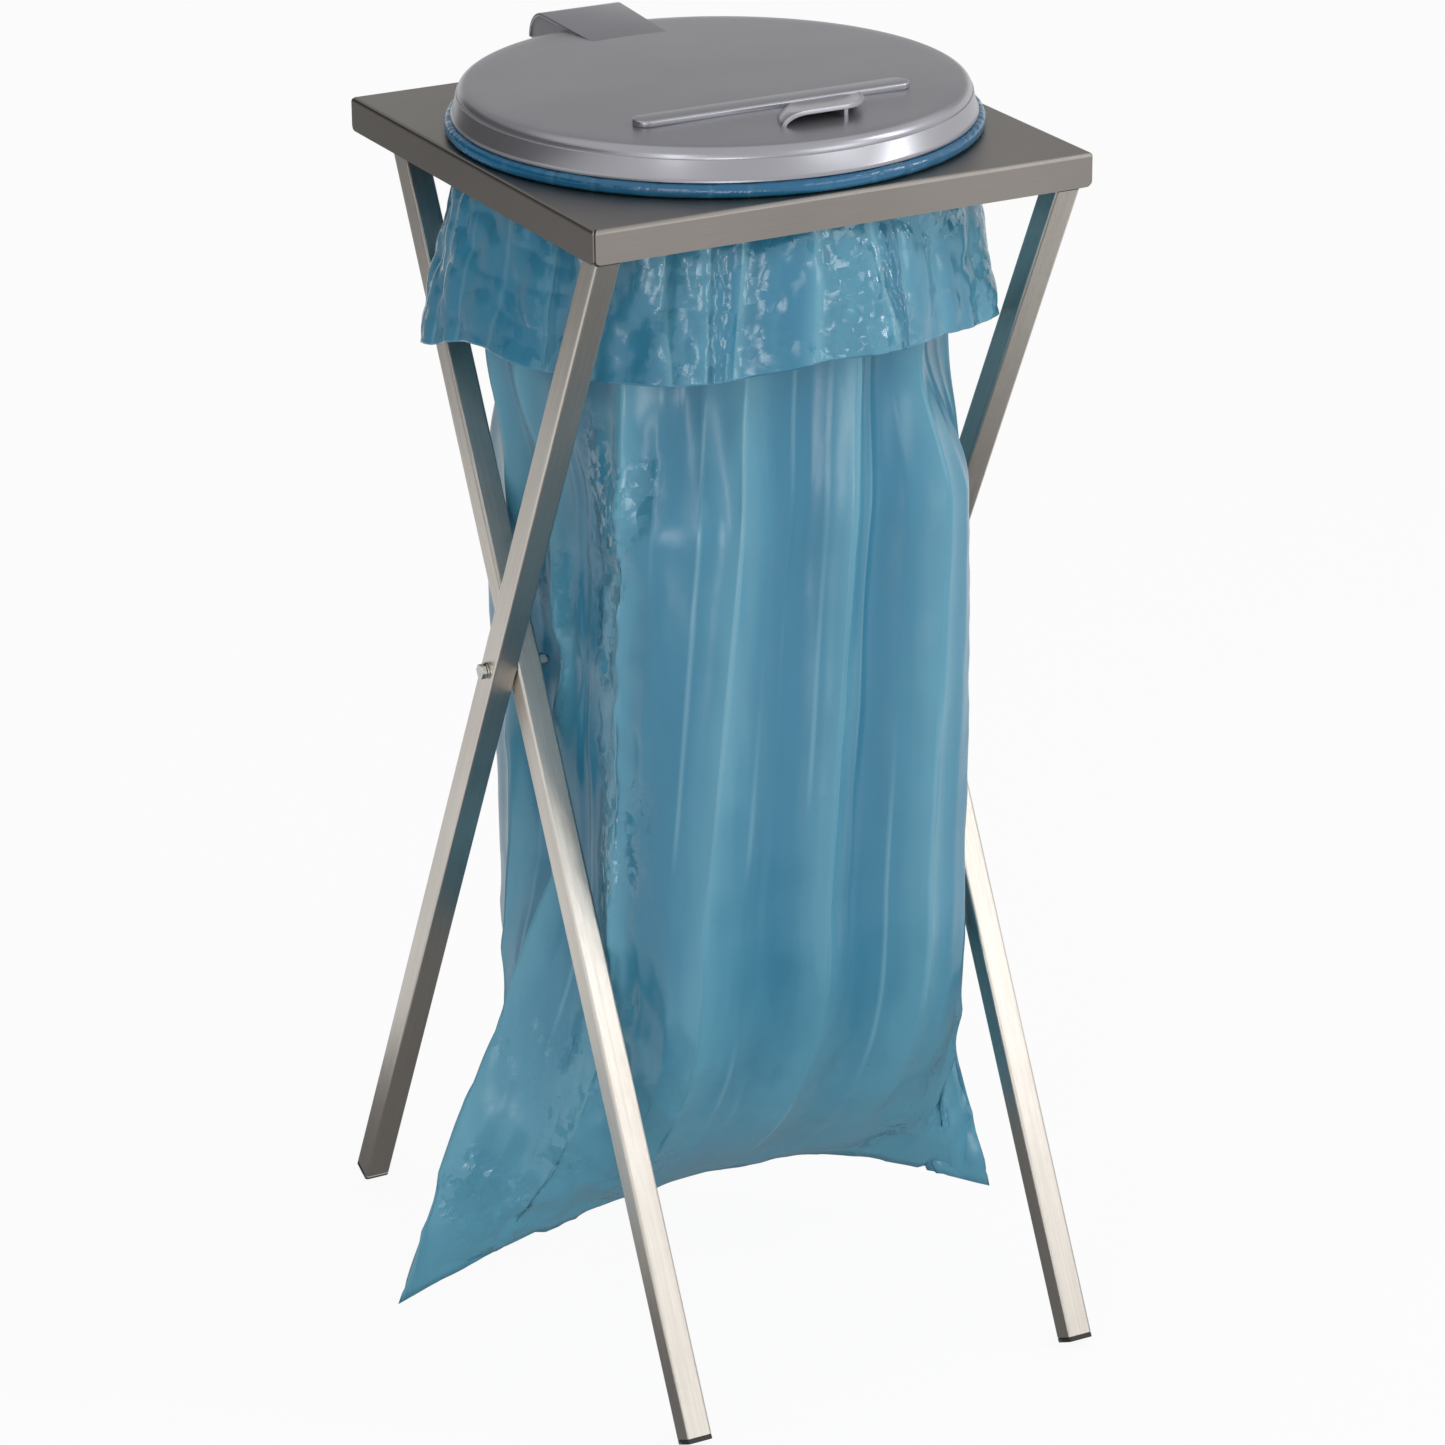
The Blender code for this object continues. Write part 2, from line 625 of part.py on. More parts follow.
def film_over_ring():
    """The film's path as (radius, height) points, from inside the ring, over it and under it."""
    edge = RING_EDGE + FILM_OFFSET
    inner = RING_INNER_RADIUS + RING_EDGE
    outer = RING_OUTER_RADIUS - RING_EDGE
    low = RING_BOTTOM + RING_EDGE
    high = RING_TOP - RING_EDGE
    path = arc((inner, high), edge, 180, 90, 2) + arc((outer, high), edge, 90, 0, 2)
    path += arc((outer, low), edge, 0, -90, 2)
    turn_radius = FILM_HOLE_CLEARANCE
    cuff_radius = HOLE_RADIUS - FILM_HOLE_CLEARANCE
    path += arc((cuff_radius + turn_radius, low - edge - turn_radius), turn_radius, 90, 180, 2)
    return path


def body_point(column, height):
    """A point of the hanging bag: round below the ring, then squarer, with upright folds."""
    fold_start = smooth((TRAY_TOP - height) / BAG_ROUND_LENGTH)
    angle, depth = fold_place(column, height, fold_start)
    turn = math.radians(angle)
    squareness = smooth((BAG_SQUARE_TOP - height) / BAG_TURN_LENGTH)
    across = abs(math.cos(turn)) / BAG_HALF_WIDTH
    along = abs(math.sin(turn)) / BAG_HALF_DEPTH
    square = (across ** BAG_SQUARENESS + along ** BAG_SQUARENESS) ** (-1 / BAG_SQUARENESS)
    radius = mix(RING_INNER_RADIUS - FILM_OFFSET, square, squareness) - BAG_FOLD_DEPTH * fold_start * depth
    x = radius * math.cos(turn)
    y = radius * math.sin(turn)
    dent = BAG_DENT * math.exp(-(y ** 2 + (height - CROSS_HEIGHT) ** 2) / BAG_DENT_REACH ** 2)
    x -= math.copysign(dent, math.cos(turn))
    return x, y - BAG_FORWARD * squareness, height


def lower_point(column, share):
    """A point of the bag's lower part, from its full section down to the flat bottom seam."""
    x, y, _ = body_point(column, BAG_SPREAD_HEIGHT)
    angle, _ = fold_place(column, BAG_SPREAD_HEIGHT, 1 - share)
    turn = math.radians(angle)
    reach = BAG_RIGHT_CORNER_REACH if x > 0 else BAG_LEFT_CORNER_REACH
    x += math.copysign(reach * share * abs(math.cos(turn)) ** mix(15, 7, share), x)
    y = mix(y, BAG_HEM_HALF_THICKNESS * math.sin(turn), share ** 2.4)
    y -= BAG_RIGHT_CORNER_FORWARD * share * max(math.cos(turn), 0) ** 4
    hem = BAG_HEM_HEIGHT - BAG_HEM_DROP * (x / (BAG_HALF_WIDTH + reach)) ** 2 * share
    return x, y, mix(BAG_SPREAD_HEIGHT, hem, share)


def ring_point(column, radius, height):
    turn = math.radians(360 * column / ROUND_STEPS)
    return radius * math.cos(turn), radius * math.sin(turn), height


def cuff_point(column, share):
    """A point of the folded-over cuff, at a share of the way down to its open edge."""
    start_radius, start_height = film_over_ring()[-1]
    angle = 360 * column / ROUND_STEPS
    turn = math.radians(angle)
    tip = math.exp(-((angle - CUFF_TIP_ANGLE) / CUFF_TIP_WIDTH) ** 2)
    length = CUFF_LENGTH - CUFF_WAVE_HEIGHT * math.cos(CUFF_WAVES * (turn + CUFF_WAVE_START))
    height = start_height - (length + CUFF_TIP_DROP * tip) * share
    flute = CUFF_FLUTE_DEPTH * (0.5 - 0.5 * math.cos(CUFF_FLUTES * turn)) * (1 - tip)
    radius = mix(start_radius, CUFF_RADIUS + CUFF_TIP_REACH * tip - flute, share)
    x = radius * math.cos(turn)
    y = radius * math.sin(turn)
    return mix(x, behind_leg(x, y, height), smooth(share * 2)), y, height


def bag_rows():
    """Rings of points from the bottom seam up, over the ring and down the cuff."""
    columns = range(ROUND_STEPS)
    rows = [[lower_point(column, share) for column in columns] for share in (1, 0.85, 0.68, 0.5, 0.33, 0.16, 0)]
    heights = [CROSS_HEIGHT - BAG_DENT_SPAN, CROSS_HEIGHT, CROSS_HEIGHT + BAG_DENT_SPAN]
    heights += [mix(BAG_SQUARE_HEIGHT, BAG_SQUARE_TOP, share) for share in (0.2, 0.9)]
    heights += [mix(BAG_SQUARE_TOP, TRAY_TOP, share) for share in (0.45, 0.87)]
    rows += [[body_point(column, height) for column in columns] for height in heights]
    rows += [[ring_point(column, *place) for column in columns] for place in film_over_ring()]
    rows += [[cuff_point(column, share) for column in columns] for share in (0.25, 0.5, 0.75, 1)]
    return rows


def close_seam(form, seam):
    """Join the front and back of the bottom row of points across the seam."""
    half = ROUND_STEPS // 2
    for column in range(half):
        far = (ROUND_STEPS - column) % ROUND_STEPS
        corners = (seam[column], seam[far], seam[far - 1], seam[column + 1])
        form.faces.new(sorted(set(corners), key=corners.index))


def bag():
    """One film bag: hung inside the ring, folded over it and back out through the hole."""
    form = bmesh.new()
    loops = [[form.verts.new(place) for place in row] for row in bag_rows()]
    for low, high in zip(loops, loops[1:]):
        for column in range(ROUND_STEPS):
            after = (column + 1) % ROUND_STEPS
            form.faces.new((low[column], low[after], high[after], high[column]))
    close_seam(form, loops[0])
    item = add_object("bag", mesh_from("bag", form), finish="blue_film")
    film = item.modifiers.new("film", "SOLIDIFY")
    film.thickness = FILM
    film.offset = 0
    film.use_even_offset = True
    return item


# Lid

def dome_height(radius):
    return DOME_TOP - DOME_RISE * (radius / DOME_EDGE_RADIUS) ** 2


def dome_points(depth):
    """Points of the dome from its middle outwards, at a depth below its top surface."""
    radii = [DOME_EDGE_RADIUS * share for share in (0, 0.33, 0.55, 0.77, 0.91)]
    return [(radius, dome_height(radius) - depth) for radius in radii]


def lid_outside():
    """The outer side of the lid's profile, from its middle down to its lip."""
    points = dome_points(0)
    points += arc((DOME_EDGE_RADIUS, SKIRT_TOP), SHOULDER_RADIUS, 88, 0, 5)
    points += [(SKIRT_TOP_RADIUS, SKIRT_TOP - LID_LIP_WIDTH / 2)]
    points += [(SKIRT_FOOT_RADIUS, SKIRT_BOTTOM + LID_LIP_WIDTH / 2)]
    points += [(LID_RADIUS, SKIRT_BOTTOM), (LID_RADIUS, LID_BOTTOM)]
    return points


def lid_inside(wall):
    """The same profile a wall's thickness further in, from the middle down."""
    points = dome_points(wall)
    points += arc((DOME_EDGE_RADIUS, SKIRT_TOP), SHOULDER_RADIUS - wall, 88, 0, 4)
    points += [(SKIRT_TOP_RADIUS - wall, SKIRT_TOP - wall), (SKIRT_FOOT_RADIUS - wall, LID_BOTTOM)]
    return points


def lid_core_cutter():
    """Everything inside the middle of the lid's wall, to trim what is joined to its outside."""
    profile = lid_inside(LID_WALL / 2)
    profile += [(profile[-1][0], LID_BOTTOM - 0.02), (0, LID_BOTTOM - 0.02)]
    return turned("lid_core_cutter", profile, (0, 0, 0), ROUND_STEPS)


def arm_outline(wall):
    """The hinge arm from the side, as (y, z) from the hinge axis. The wall shrinks it."""
    start = ARM_START - HINGE_BACK
    rise = dome_height(ARM_START) - SINK - HINGE_HEIGHT
    outline = [(start, rise - wall)]
    outline += arc((0, 0), ARM_CURL_RADIUS - wall, 90, 0, 8)
    return outline


def hinge_arm(core):
    """Arm behind the lid: a plate that curls down round the hinge, with a wall at each side."""
    lip = LID_BOTTOM + SINK - HINGE_HEIGHT
    ring_edge = RING_OUTER_RADIUS + FILM - HINGE_BACK
    lower = [(ARM_CURL_RADIUS, -SINK)]
    lower += arc((0, 0), KNUCKLE_RADIUS, -45, -135, 5)
    lower += [(ring_edge, lip), (ARM_START - HINGE_BACK, lip)]
    axis = (0, HINGE_BACK, HINGE_HEIGHT)
    arm = side_outline("hinge_arm_cutter", arm_outline(0) + lower, ARM_WIDTH, axis)
    low = -HINGE_HEIGHT + FLANGE_BOTTOM
    inside = arm_outline(ARM_WALL) + [(ARM_CURL_RADIUS - ARM_WALL, low), (ARM_START - HINGE_BACK, low)]
    space = side_outline("arm_space_cutter", inside, ARM_WIDTH - 2 * ARM_WALL, axis)
    boolean(arm, space)
    boolean(arm, core)
    return arm


def grip_point(x, share):
    """A point of the grip's roof, which rises from its left foot and ends in a round overhang."""
    past_wall = max(0, (x - GRIP_WALL_RIGHT) / (GRIP_RIGHT - GRIP_WALL_RIGHT))
    reach = mix(BAR_WIDTH, GRIP_REACH, math.sqrt(1 - (past_wall * 0.97) ** 2))
    risen = min((x + GRIP_LEFT) / GRIP_RISE_LENGTH, 1)
    front = GRIP_HEIGHT * math.sqrt(1 - (1 - risen) ** 2)
    back = (BAR_HEIGHT - GAP) * smooth(risen * 2)
    base = dome_height(BAR_FORWARD + GRIP_REACH) - SINK
    return x, -BAR_FORWARD - reach * (1 - share), base + mix(front, back, smooth(share))


def grip_cutter():
    """The roof in front of the bar that a hand lifts the lid by."""
    form = bmesh.new()
    edges = [-GRIP_LEFT + GRIP_RISE_LENGTH * share for share in (0, 0.05, 0.18, 0.4, 0.7, 1)]
    edges += [mix(edges[-1], GRIP_WALL_RIGHT, share) for share in (0.5, 1)]
    edges += [mix(GRIP_WALL_RIGHT, GRIP_RIGHT, share) for share in (0.4, 0.7, 0.9, 1)]
    rows = [[form.verts.new(grip_point(x, row / 5)) for x in edges] for row in range(6)]
    for near, far in zip(rows, rows[1:]):
        for column in range(len(edges) - 1):
            form.faces.new((near[column], near[column + 1], far[column + 1], far[column]))
    mesh = bpy.data.meshes.new("grip_cutter")
    form.to_mesh(mesh)
    form.free()
    item = add_object("grip_cutter", mesh)
    wall = item.modifiers.new("wall", "SOLIDIFY")
    wall.thickness = GRIP_WALL
    wall.offset = -1
    return item


def grip_wall_cutter():
    """Upright wall that carries the right side of the grip's roof."""
    low = dome_height(BAR_FORWARD + GRIP_REACH) - LID_WALL / 2
    front = -BAR_FORWARD - GRIP_REACH + SINK
    roof = grip_point(GRIP_WALL_RIGHT, 0)[2] - GRIP_WALL / 2
    bar = grip_point(GRIP_WALL_RIGHT, 1)[2] - GRIP_WALL / 2
    outline = [(front, low), (front, roof), (mix(front, -BAR_FORWARD, 0.4), mix(roof, bar, 0.45)),
               (-BAR_FORWARD - BAR_WIDTH / 4, bar), (-BAR_FORWARD - BAR_WIDTH / 4, low)]
    return side_outline("grip_wall_cutter", outline, GRIP_WALL, (GRIP_WALL_RIGHT, 0, 0))


def bar_cutter():
    """Raised bar across the front of the lid, with round ends and a soft upper edge."""
    half = BAR_LENGTH / 2 - BAR_WIDTH / 2
    outline = arc((half, 0), BAR_WIDTH / 2, -90, 90, 8) + arc((-half, 0), BAR_WIDTH / 2, 90, 270, 8)
    low = dome_height(BAR_FORWARD) - LID_WALL * 0.6
    high = dome_height(BAR_FORWARD) + BAR_HEIGHT
    mesh = outline_mesh("bar_cutter", [outline], high - low)
    item = add_object("bar_cutter", mesh, (0, -BAR_FORWARD, (low + high) / 2))
    soften(item, BAR_EDGE)
    return item


def lid():
    """Shallow domed lid turned about Z, with its bar, grip and hinge arm joined on."""
    hinge = empty("lid_hinge", (0, HINGE_BACK, HINGE_HEIGHT))
    profile = lid_outside() + lid_inside(LID_WALL)[::-1]
    item = turned("lid", profile, (0, -HINGE_BACK, -HINGE_HEIGHT), ROUND_STEPS, hinge, "silver_plastic")
    core = lid_core_cutter()
    boolean(item, hinge_arm(core), "UNION")
    boolean(item, bar_cutter(), "UNION")
    boolean(item, grip_cutter(), "UNION")
    boolean(item, grip_wall_cutter(), "UNION")
    pin_hole = add_object("pin_hole_cutter",
                          rod_mesh("pin_hole_cutter", PIN_RADIUS + PIN_CLEARANCE, -0.05, 0.05),
                          (0, HINGE_BACK, HINGE_HEIGHT), (0, math.radians(90), 0))
    boolean(item, pin_hole)
    return item


# Hinge

def bracket_middle():
    return TRAY_TOP - BRACKET_DROP - BRACKET_HEIGHT / 2


def hinge_bracket():
    """Plastic bracket on the back flange, with an ear at each side that carries the pin."""
    face = TRAY_DEPTH / 2 + GAP - HINGE_BACK
    top = -BRACKET_DROP - HINGE_RISE
    bottom = top - BRACKET_HEIGHT
    width = ARM_WIDTH - 2 * ARM_WALL - 0.001
    ear = [(face, top)] + arc((0, 0), KNUCKLE_RADIUS, 120, -95, 12)
    ear += [(face + BRACKET_BASE, bottom), (face, bottom)]
    axis = (0, HINGE_BACK, HINGE_HEIGHT)
    item = side_outline("hinge_bracket", ear, width, axis, finish="black_plastic")
    far = KNUCKLE_RADIUS + 0.002
    space = [(face + BRACKET_BASE, bottom - 0.01), (far, bottom - 0.01), (far, far), (face + BRACKET_BASE, far)]
    boolean(item, side_outline("bracket_space_cutter", space, width - 2 * EAR_THICKNESS, axis))
    pin_hole = bpy.data.objects["pin_hole_cutter"]
    boolean(item, pin_hole)
    for side in (-1, 1):
        boolean(item, bpy.data.objects[f"flange_hole_cutter_{side}"])
    return item


def hinge_pin():
    """Steel pin with a head at one end and a push-on clip at the other."""
    half = ARM_WIDTH / 2
    axis = empty("hinge_pin_frame", (0, HINGE_BACK, HINGE_HEIGHT), (0, math.radians(90), 0))
    end = half + 2 * GAP + CLIP_THICKNESS + PIN_END
    pin = add_object("hinge_pin", rod_mesh("hinge_pin", PIN_RADIUS, -half - GAP - SINK / 2, end),
                     parent=axis, finish="bright_steel")
    head = add_object("pin_head_cutter",
                      rod_mesh("pin_head", PIN_HEAD_RADIUS, -half - GAP - PIN_HEAD_THICKNESS, -half - GAP),
                      parent=axis)
    boolean(pin, head, "UNION")
    rings = [arc((0, 0), CLIP_RADIUS, 0, 342, 19), arc((0, 0), PIN_RADIUS + GAP, 0, 342, 19)]
    add_object("pin_clip", outline_mesh("pin_clip", rings, CLIP_THICKNESS),
               (0, 0, half + GAP + CLIP_THICKNESS / 2), parent=axis, finish="bright_steel")


def bracket_screws():
    """Two screws through the bracket and the flange, each with a nut inside the tray."""
    seat = TRAY_DEPTH / 2 + GAP + BRACKET_BASE + GAP
    for side, sign in (("left", -1), ("right", 1)):
        axis = empty(f"bracket_screw_{side}_frame",
                     (sign * SCREW_SPACING / 2, seat, bracket_middle()), (math.radians(90), 0, 0))
        shank_end = seat - FLANGE_INSIDE + GAP + NUT_HEIGHT
        screw = add_object(f"bracket_screw_{side}",
                           rod_mesh("bracket_screw", SCREW_RADIUS, -SINK, shank_end),
                           parent=axis, finish="bright_steel")
        crown = [(0, SCREW_HEAD_HEIGHT), (SCREW_HEAD_RADIUS * 0.55, SCREW_HEAD_HEIGHT * 0.92),
                 (SCREW_HEAD_RADIUS * 0.9, SCREW_HEAD_HEIGHT * 0.55), (SCREW_HEAD_RADIUS, 0), (0, 0)]
        head = turned(f"screw_head_{side}_cutter", crown, (0, 0, 0), 20, axis)
        head.rotation_euler = (math.radians(180), 0, 0)
        boolean(screw, head, "UNION")
        nut_seat = seat - FLANGE_INSIDE + GAP
        nut = add_object(f"bracket_nut_{side}",
                         hexagon_mesh("bracket_nut", NUT_ACROSS, nut_seat, nut_seat + NUT_HEIGHT),
                         parent=axis, finish="bright_steel")
        bore = add_object(f"bracket_nut_bore_{side}_cutter",
                          rod_mesh("bracket_nut_bore", SCREW_RADIUS + GAP, nut_seat - SINK,
                                   nut_seat + NUT_HEIGHT + SINK), parent=axis)
        boolean(nut, bore)


def place_stand():
    """Move all that is not yet carried by a frame to the stand's place."""
    stand = empty("stand_frame", (STAND_X, 0, 0))
    for name in (PARTS, CUTTERS):
        for item in bpy.data.collections[name].objects:
            if item.parent is None and item != stand:
                item.parent = stand


def build():
    clear_scene()
    make_collections()
    tray()
    frames = leg_frames()
    legs(frames)
    foot_caps(frames)
    top_connectors(frames)
    crossing_bolts()
    bag_ring()
    bag()
    lid()
    hinge_bracket()
    hinge_pin()
    bracket_screws()
    place_stand()


build()
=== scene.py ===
import math
import random

import bpy
import numpy as np
from mathutils import Matrix, Vector, noise


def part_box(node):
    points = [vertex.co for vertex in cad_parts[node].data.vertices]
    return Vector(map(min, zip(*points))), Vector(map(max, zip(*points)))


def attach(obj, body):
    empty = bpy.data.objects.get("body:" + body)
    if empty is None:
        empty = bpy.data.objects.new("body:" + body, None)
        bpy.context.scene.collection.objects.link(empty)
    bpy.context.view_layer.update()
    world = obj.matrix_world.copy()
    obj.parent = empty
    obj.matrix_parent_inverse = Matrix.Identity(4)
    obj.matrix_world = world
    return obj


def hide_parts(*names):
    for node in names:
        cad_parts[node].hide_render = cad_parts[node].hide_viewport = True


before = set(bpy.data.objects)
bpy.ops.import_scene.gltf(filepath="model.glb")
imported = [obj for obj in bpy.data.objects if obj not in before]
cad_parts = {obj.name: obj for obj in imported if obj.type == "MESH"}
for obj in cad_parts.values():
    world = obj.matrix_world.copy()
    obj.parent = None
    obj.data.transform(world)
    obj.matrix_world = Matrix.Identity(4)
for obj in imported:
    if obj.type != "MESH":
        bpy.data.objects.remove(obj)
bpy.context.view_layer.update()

# Camera, placed from the stand's middle, with its lens in pixels of the photograph
PHOTO_SIDE = 1445
CAMERA_FOCAL_PIXELS = 5459.65
CAMERA_SENSOR = 36.0
CAMERA_YAW = 0.48697
CAMERA_PITCH = 0.38020
CAMERA_ROLL = 0.007945
CAMERA_FROM_STAND = (-1.800456, -3.404826, 1.990112)


def box(node):
    """The low and high corner of a CAD node."""
    return [Vector(corner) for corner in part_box(node)]


# Places read from the frame
TRAY_LOW, TRAY_HIGH = box("tray")
RING_LOW, RING_HIGH = box("bag_ring")
LID_LOW, LID_HIGH = box("lid")
OUTER_LEG_LOW, OUTER_LEG_HIGH = box("outer_leg_right")
INNER_LEG_LOW = box("inner_leg_right")[0]
BOLT_LOW, BOLT_HIGH = box("cross_bolt_right")
PIN_LOW, PIN_HIGH = box("pin_clip")
STAND_X = (TRAY_LOW.x + TRAY_HIGH.x) / 2
CROSS_HEIGHT = (BOLT_LOW.z + BOLT_HIGH.z) / 2
TUBE = OUTER_LEG_HIGH.x - OUTER_LEG_LOW.x
OUTER_LEG_FACE = OUTER_LEG_LOW.x - STAND_X
INNER_LEG_FACE = INNER_LEG_LOW.x - STAND_X
LEG_TOP_INSET = 0.018
LEG_LEAN = math.atan2(TRAY_HIGH.y - LEG_TOP_INSET, TRAY_LOW.z - CROSS_HEIGHT)
RING_OUTER_RADIUS = (RING_HIGH.x - RING_LOW.x) / 2
HINGE = Vector((STAND_X, (PIN_LOW.y + PIN_HIGH.y) / 2, (PIN_LOW.z + PIN_HIGH.z) / 2))

# Film of the bag
FILM = 0.0003
FILM_OFFSET = 0.0006
RING_EDGE = 0.003
RING_INNER_RADIUS = RING_OUTER_RADIUS - 0.024
HOLE_RADIUS = RING_OUTER_RADIUS - 0.015
FILM_HOLE_CLEARANCE = 0.0008
FOLD_COLUMNS = 33
BODY_ROWS = 120
LOWER_ROWS = 48
BAG_HALF_WIDTH = INNER_LEG_FACE - 0.0034
BAG_HALF_DEPTH = RING_INNER_RADIUS - 0.004
BAG_DENT = 0.0125
BAG_DENT_REACH = 0.030
BAG_FORWARD = 0.010
BAG_SQUARENESS = 7
BAG_ROUND_LENGTH = 0.150
BAG_TURN_LENGTH = 0.110
BAG_SQUARE_TOP = TRAY_HIGH.z - BAG_ROUND_LENGTH
BAG_SPREAD_HEIGHT = CROSS_HEIGHT - 0.170
BAG_LEFT_CORNER_REACH = 0.132
BAG_RIGHT_CORNER_REACH = 0.066
BAG_RIGHT_CORNER_FORWARD = 0.045
BAG_HEM_HEIGHT = 0.074
BAG_HEM_DROP = 0.048
BAG_HEM_HALF_THICKNESS = 0.0025
BAG_CORNER_POWER_HIGH = 15
BAG_CORNER_POWER_LOW = 7
BAG_CLOSING_POWER = 2.4
BAG_CORNER_FORWARD_POWER = 4
BAG_FOLD_DEPTH = 0.015
BAG_OUTWARD_LIMIT = 0.0015
BAG_FLAT_LENGTH = 0.150
BAG_LAYER_ROOM = 0.4
BAG_FREE_ROOM = 0.020

# Upright folds from the right round the back: each crest's shift from its even place in degrees,
# its lean in degrees per metre of height, and the share of full depth of the fold after it
BAG_CRESTS = ((4, 0, 1), (3, 8, 1), (2, -10, 1), (3, 6, 1), (-2, -8, 1), (4, 10, 1),
              (0, 6, 1), (3, 14, 1), (-3, 30, 1), (-1, 24, 1), (-3, 12, 0.7), (-3, 6, 0.6))
BODY_COLUMNS = FOLD_COLUMNS * len(BAG_CRESTS)
SMALL_FOLD_DEPTH = 0.0026
SMALL_FOLD_LEAST = 0.35
SMALL_FOLD_CHANGE = 9

# Cuff, the part of the film that is folded out over the ring
CUFF_CRESTS = 30
CUFF_COLUMNS = 12 * CUFF_CRESTS
CUFF_CREST_DEPTH = 0.0055
CUFF_CREST_SHIFT = 3.4
CUFF_CREST_LEAN = 4.5
CUFF_CREST_LEAST = 0.25
CUFF_SECOND_CREST = 0.42
CUFF_SECOND_DEPTH = 0.35
CUFF_HANG_TOP = 0.016
CUFF_HANG_LOW = -0.019
RING_ROWS = 34
CUFF_ROWS = 112
CUFF_LENGTH = 0.129
CUFF_RADIUS = 0.206
CUFF_WAVES = 3
CUFF_WAVE_HEIGHT = 0.008
CUFF_WAVE_START = math.radians(84)
CUFF_FLUTES = 9
CUFF_FLUTE_DEPTH = 0.008
CUFF_TIP_ANGLE = 158
CUFF_TIP_WIDTH = 18
CUFF_TIP_DROP = 0.034
CUFF_TIP_REACH = 0.010
CUFF_LEG_CLEARANCE = 0.002
CUFF_LEG_MARGIN = 0.012
CUFF_LEG_BEND = 0.018

# Angles round the cuff: where its pleats are calm and where painted shade darkens its left side, each with a
# width, and the bands with most crinkles, each with its half width and the width of its soft edge
CUFF_CALM = (CUFF_TIP_ANGLE + 22, 30)
CUFF_PAINTED_SHADE = (185, 45)
CUFF_CRINKLED = ((292, 40, 25), (345, 18, 20))

# Uneven surface of the film: each layer's size, upward stretch, seed and height
BODY_WAVES = ((0.060, 2.5, 1, 0.0028), (0.028, 2.0, 2, 0.0012))
BODY_CRUMPLES = ((0.048, 1.8, 3, 0.014), (0.022, 1.4, 4, 0.006))
BODY_CRUMPLE_MIDDLE = 0.008
CUFF_CRUMPLES = ((0.046, 1.6, 5, 0.011), (0.020, 1.2, 6, 0.0045))
CUFF_CRUMPLE_MIDDLE = 0.005
RING_PLEAT_DEPTH = 0.0005
LEAST_CRUMPLED = 0.06

# Lid
LID_STEPS = 192
LID_RADIUS = (LID_HIGH.x - LID_LOW.x) / 2
LID_BOTTOM = RING_HIGH.z + 0.0012
LID_LIP_HEIGHT = 0.0022
LID_LIP_WIDTH = 0.0014
LID_WALL = 0.0022
SKIRT_TAPER = 0.0023
SKIRT_HEIGHT = 0.0160
LID_STEP = 0.0010
SHOULDER_RADIUS = 0.0076
DOME_RISE = 0.0023
SKIRT_TOP = LID_BOTTOM + SKIRT_HEIGHT
SKIRT_TOP_RADIUS = LID_RADIUS - LID_LIP_WIDTH - SKIRT_TAPER
DOME_RADIUS = SKIRT_TOP_RADIUS - LID_STEP - SHOULDER_RADIUS
DOME_TOP = SKIRT_TOP + SHOULDER_RADIUS + DOME_RISE
BAR_LENGTH = 0.222
BAR_WIDTH = 0.020
BAR_HEIGHT = 0.0040
BAR_FORWARD = LID_RADIUS - 0.104
GRIP_LEFT = 0.022
GRIP_RIGHT = 0.055
GRIP_WALL_RIGHT = 0.031
GRIP_RISE_LENGTH = 0.022
GRIP_HEIGHT = 0.0106
GRIP_REACH = 0.054
GRIP_WALL = 0.0034
GRIP_DISH = 0.0022
GRIP_SLANT = 0.030
ARM_WIDTH = 0.068
ARM_START_WIDTH = 0.062
ARM_WALL = 0.0025
ARM_START = LID_RADIUS - 0.066
ARM_CURL_RADIUS = LID_HIGH.y - HINGE.y
KNUCKLE_RADIUS = 0.008

# Studio: how bright the surroundings light the object, and the floor
WORLD_LEVEL = 0.62
FLOOR_GREY = 0.88
FLOOR_WHITE = 0.92


class Value:
    """A socket of a material, with arithmetic that adds Math nodes."""

    def __init__(self, finish, socket):
        self.finish = finish
        self.socket = socket

    def math(self, operation, *others):
        node = self.finish.tree.nodes.new("ShaderNodeMath")
        node.operation = operation
        for slot, value in zip(node.inputs, (self,) + others):
            self.finish.feed(slot, value)
        return Value(self.finish, node.outputs[0])

    def __add__(self, other):
        return self.math("ADD", other)

    def __sub__(self, other):
        return self.math("SUBTRACT", other)

    def __rsub__(self, other):
        return (self * -1).math("ADD", other)

    def __mul__(self, other):
        return self.math("MULTIPLY", other)

    def ramp(self, low, high):
        """0 below low and 1 above high, with a soft step between them."""
        inputs = {"Value": self, "From Min": low, "From Max": high}
        return self.finish.node("MapRange", {"interpolation_type": "SMOOTHSTEP"}, inputs)

    __radd__ = __add__
    __rmul__ = __mul__


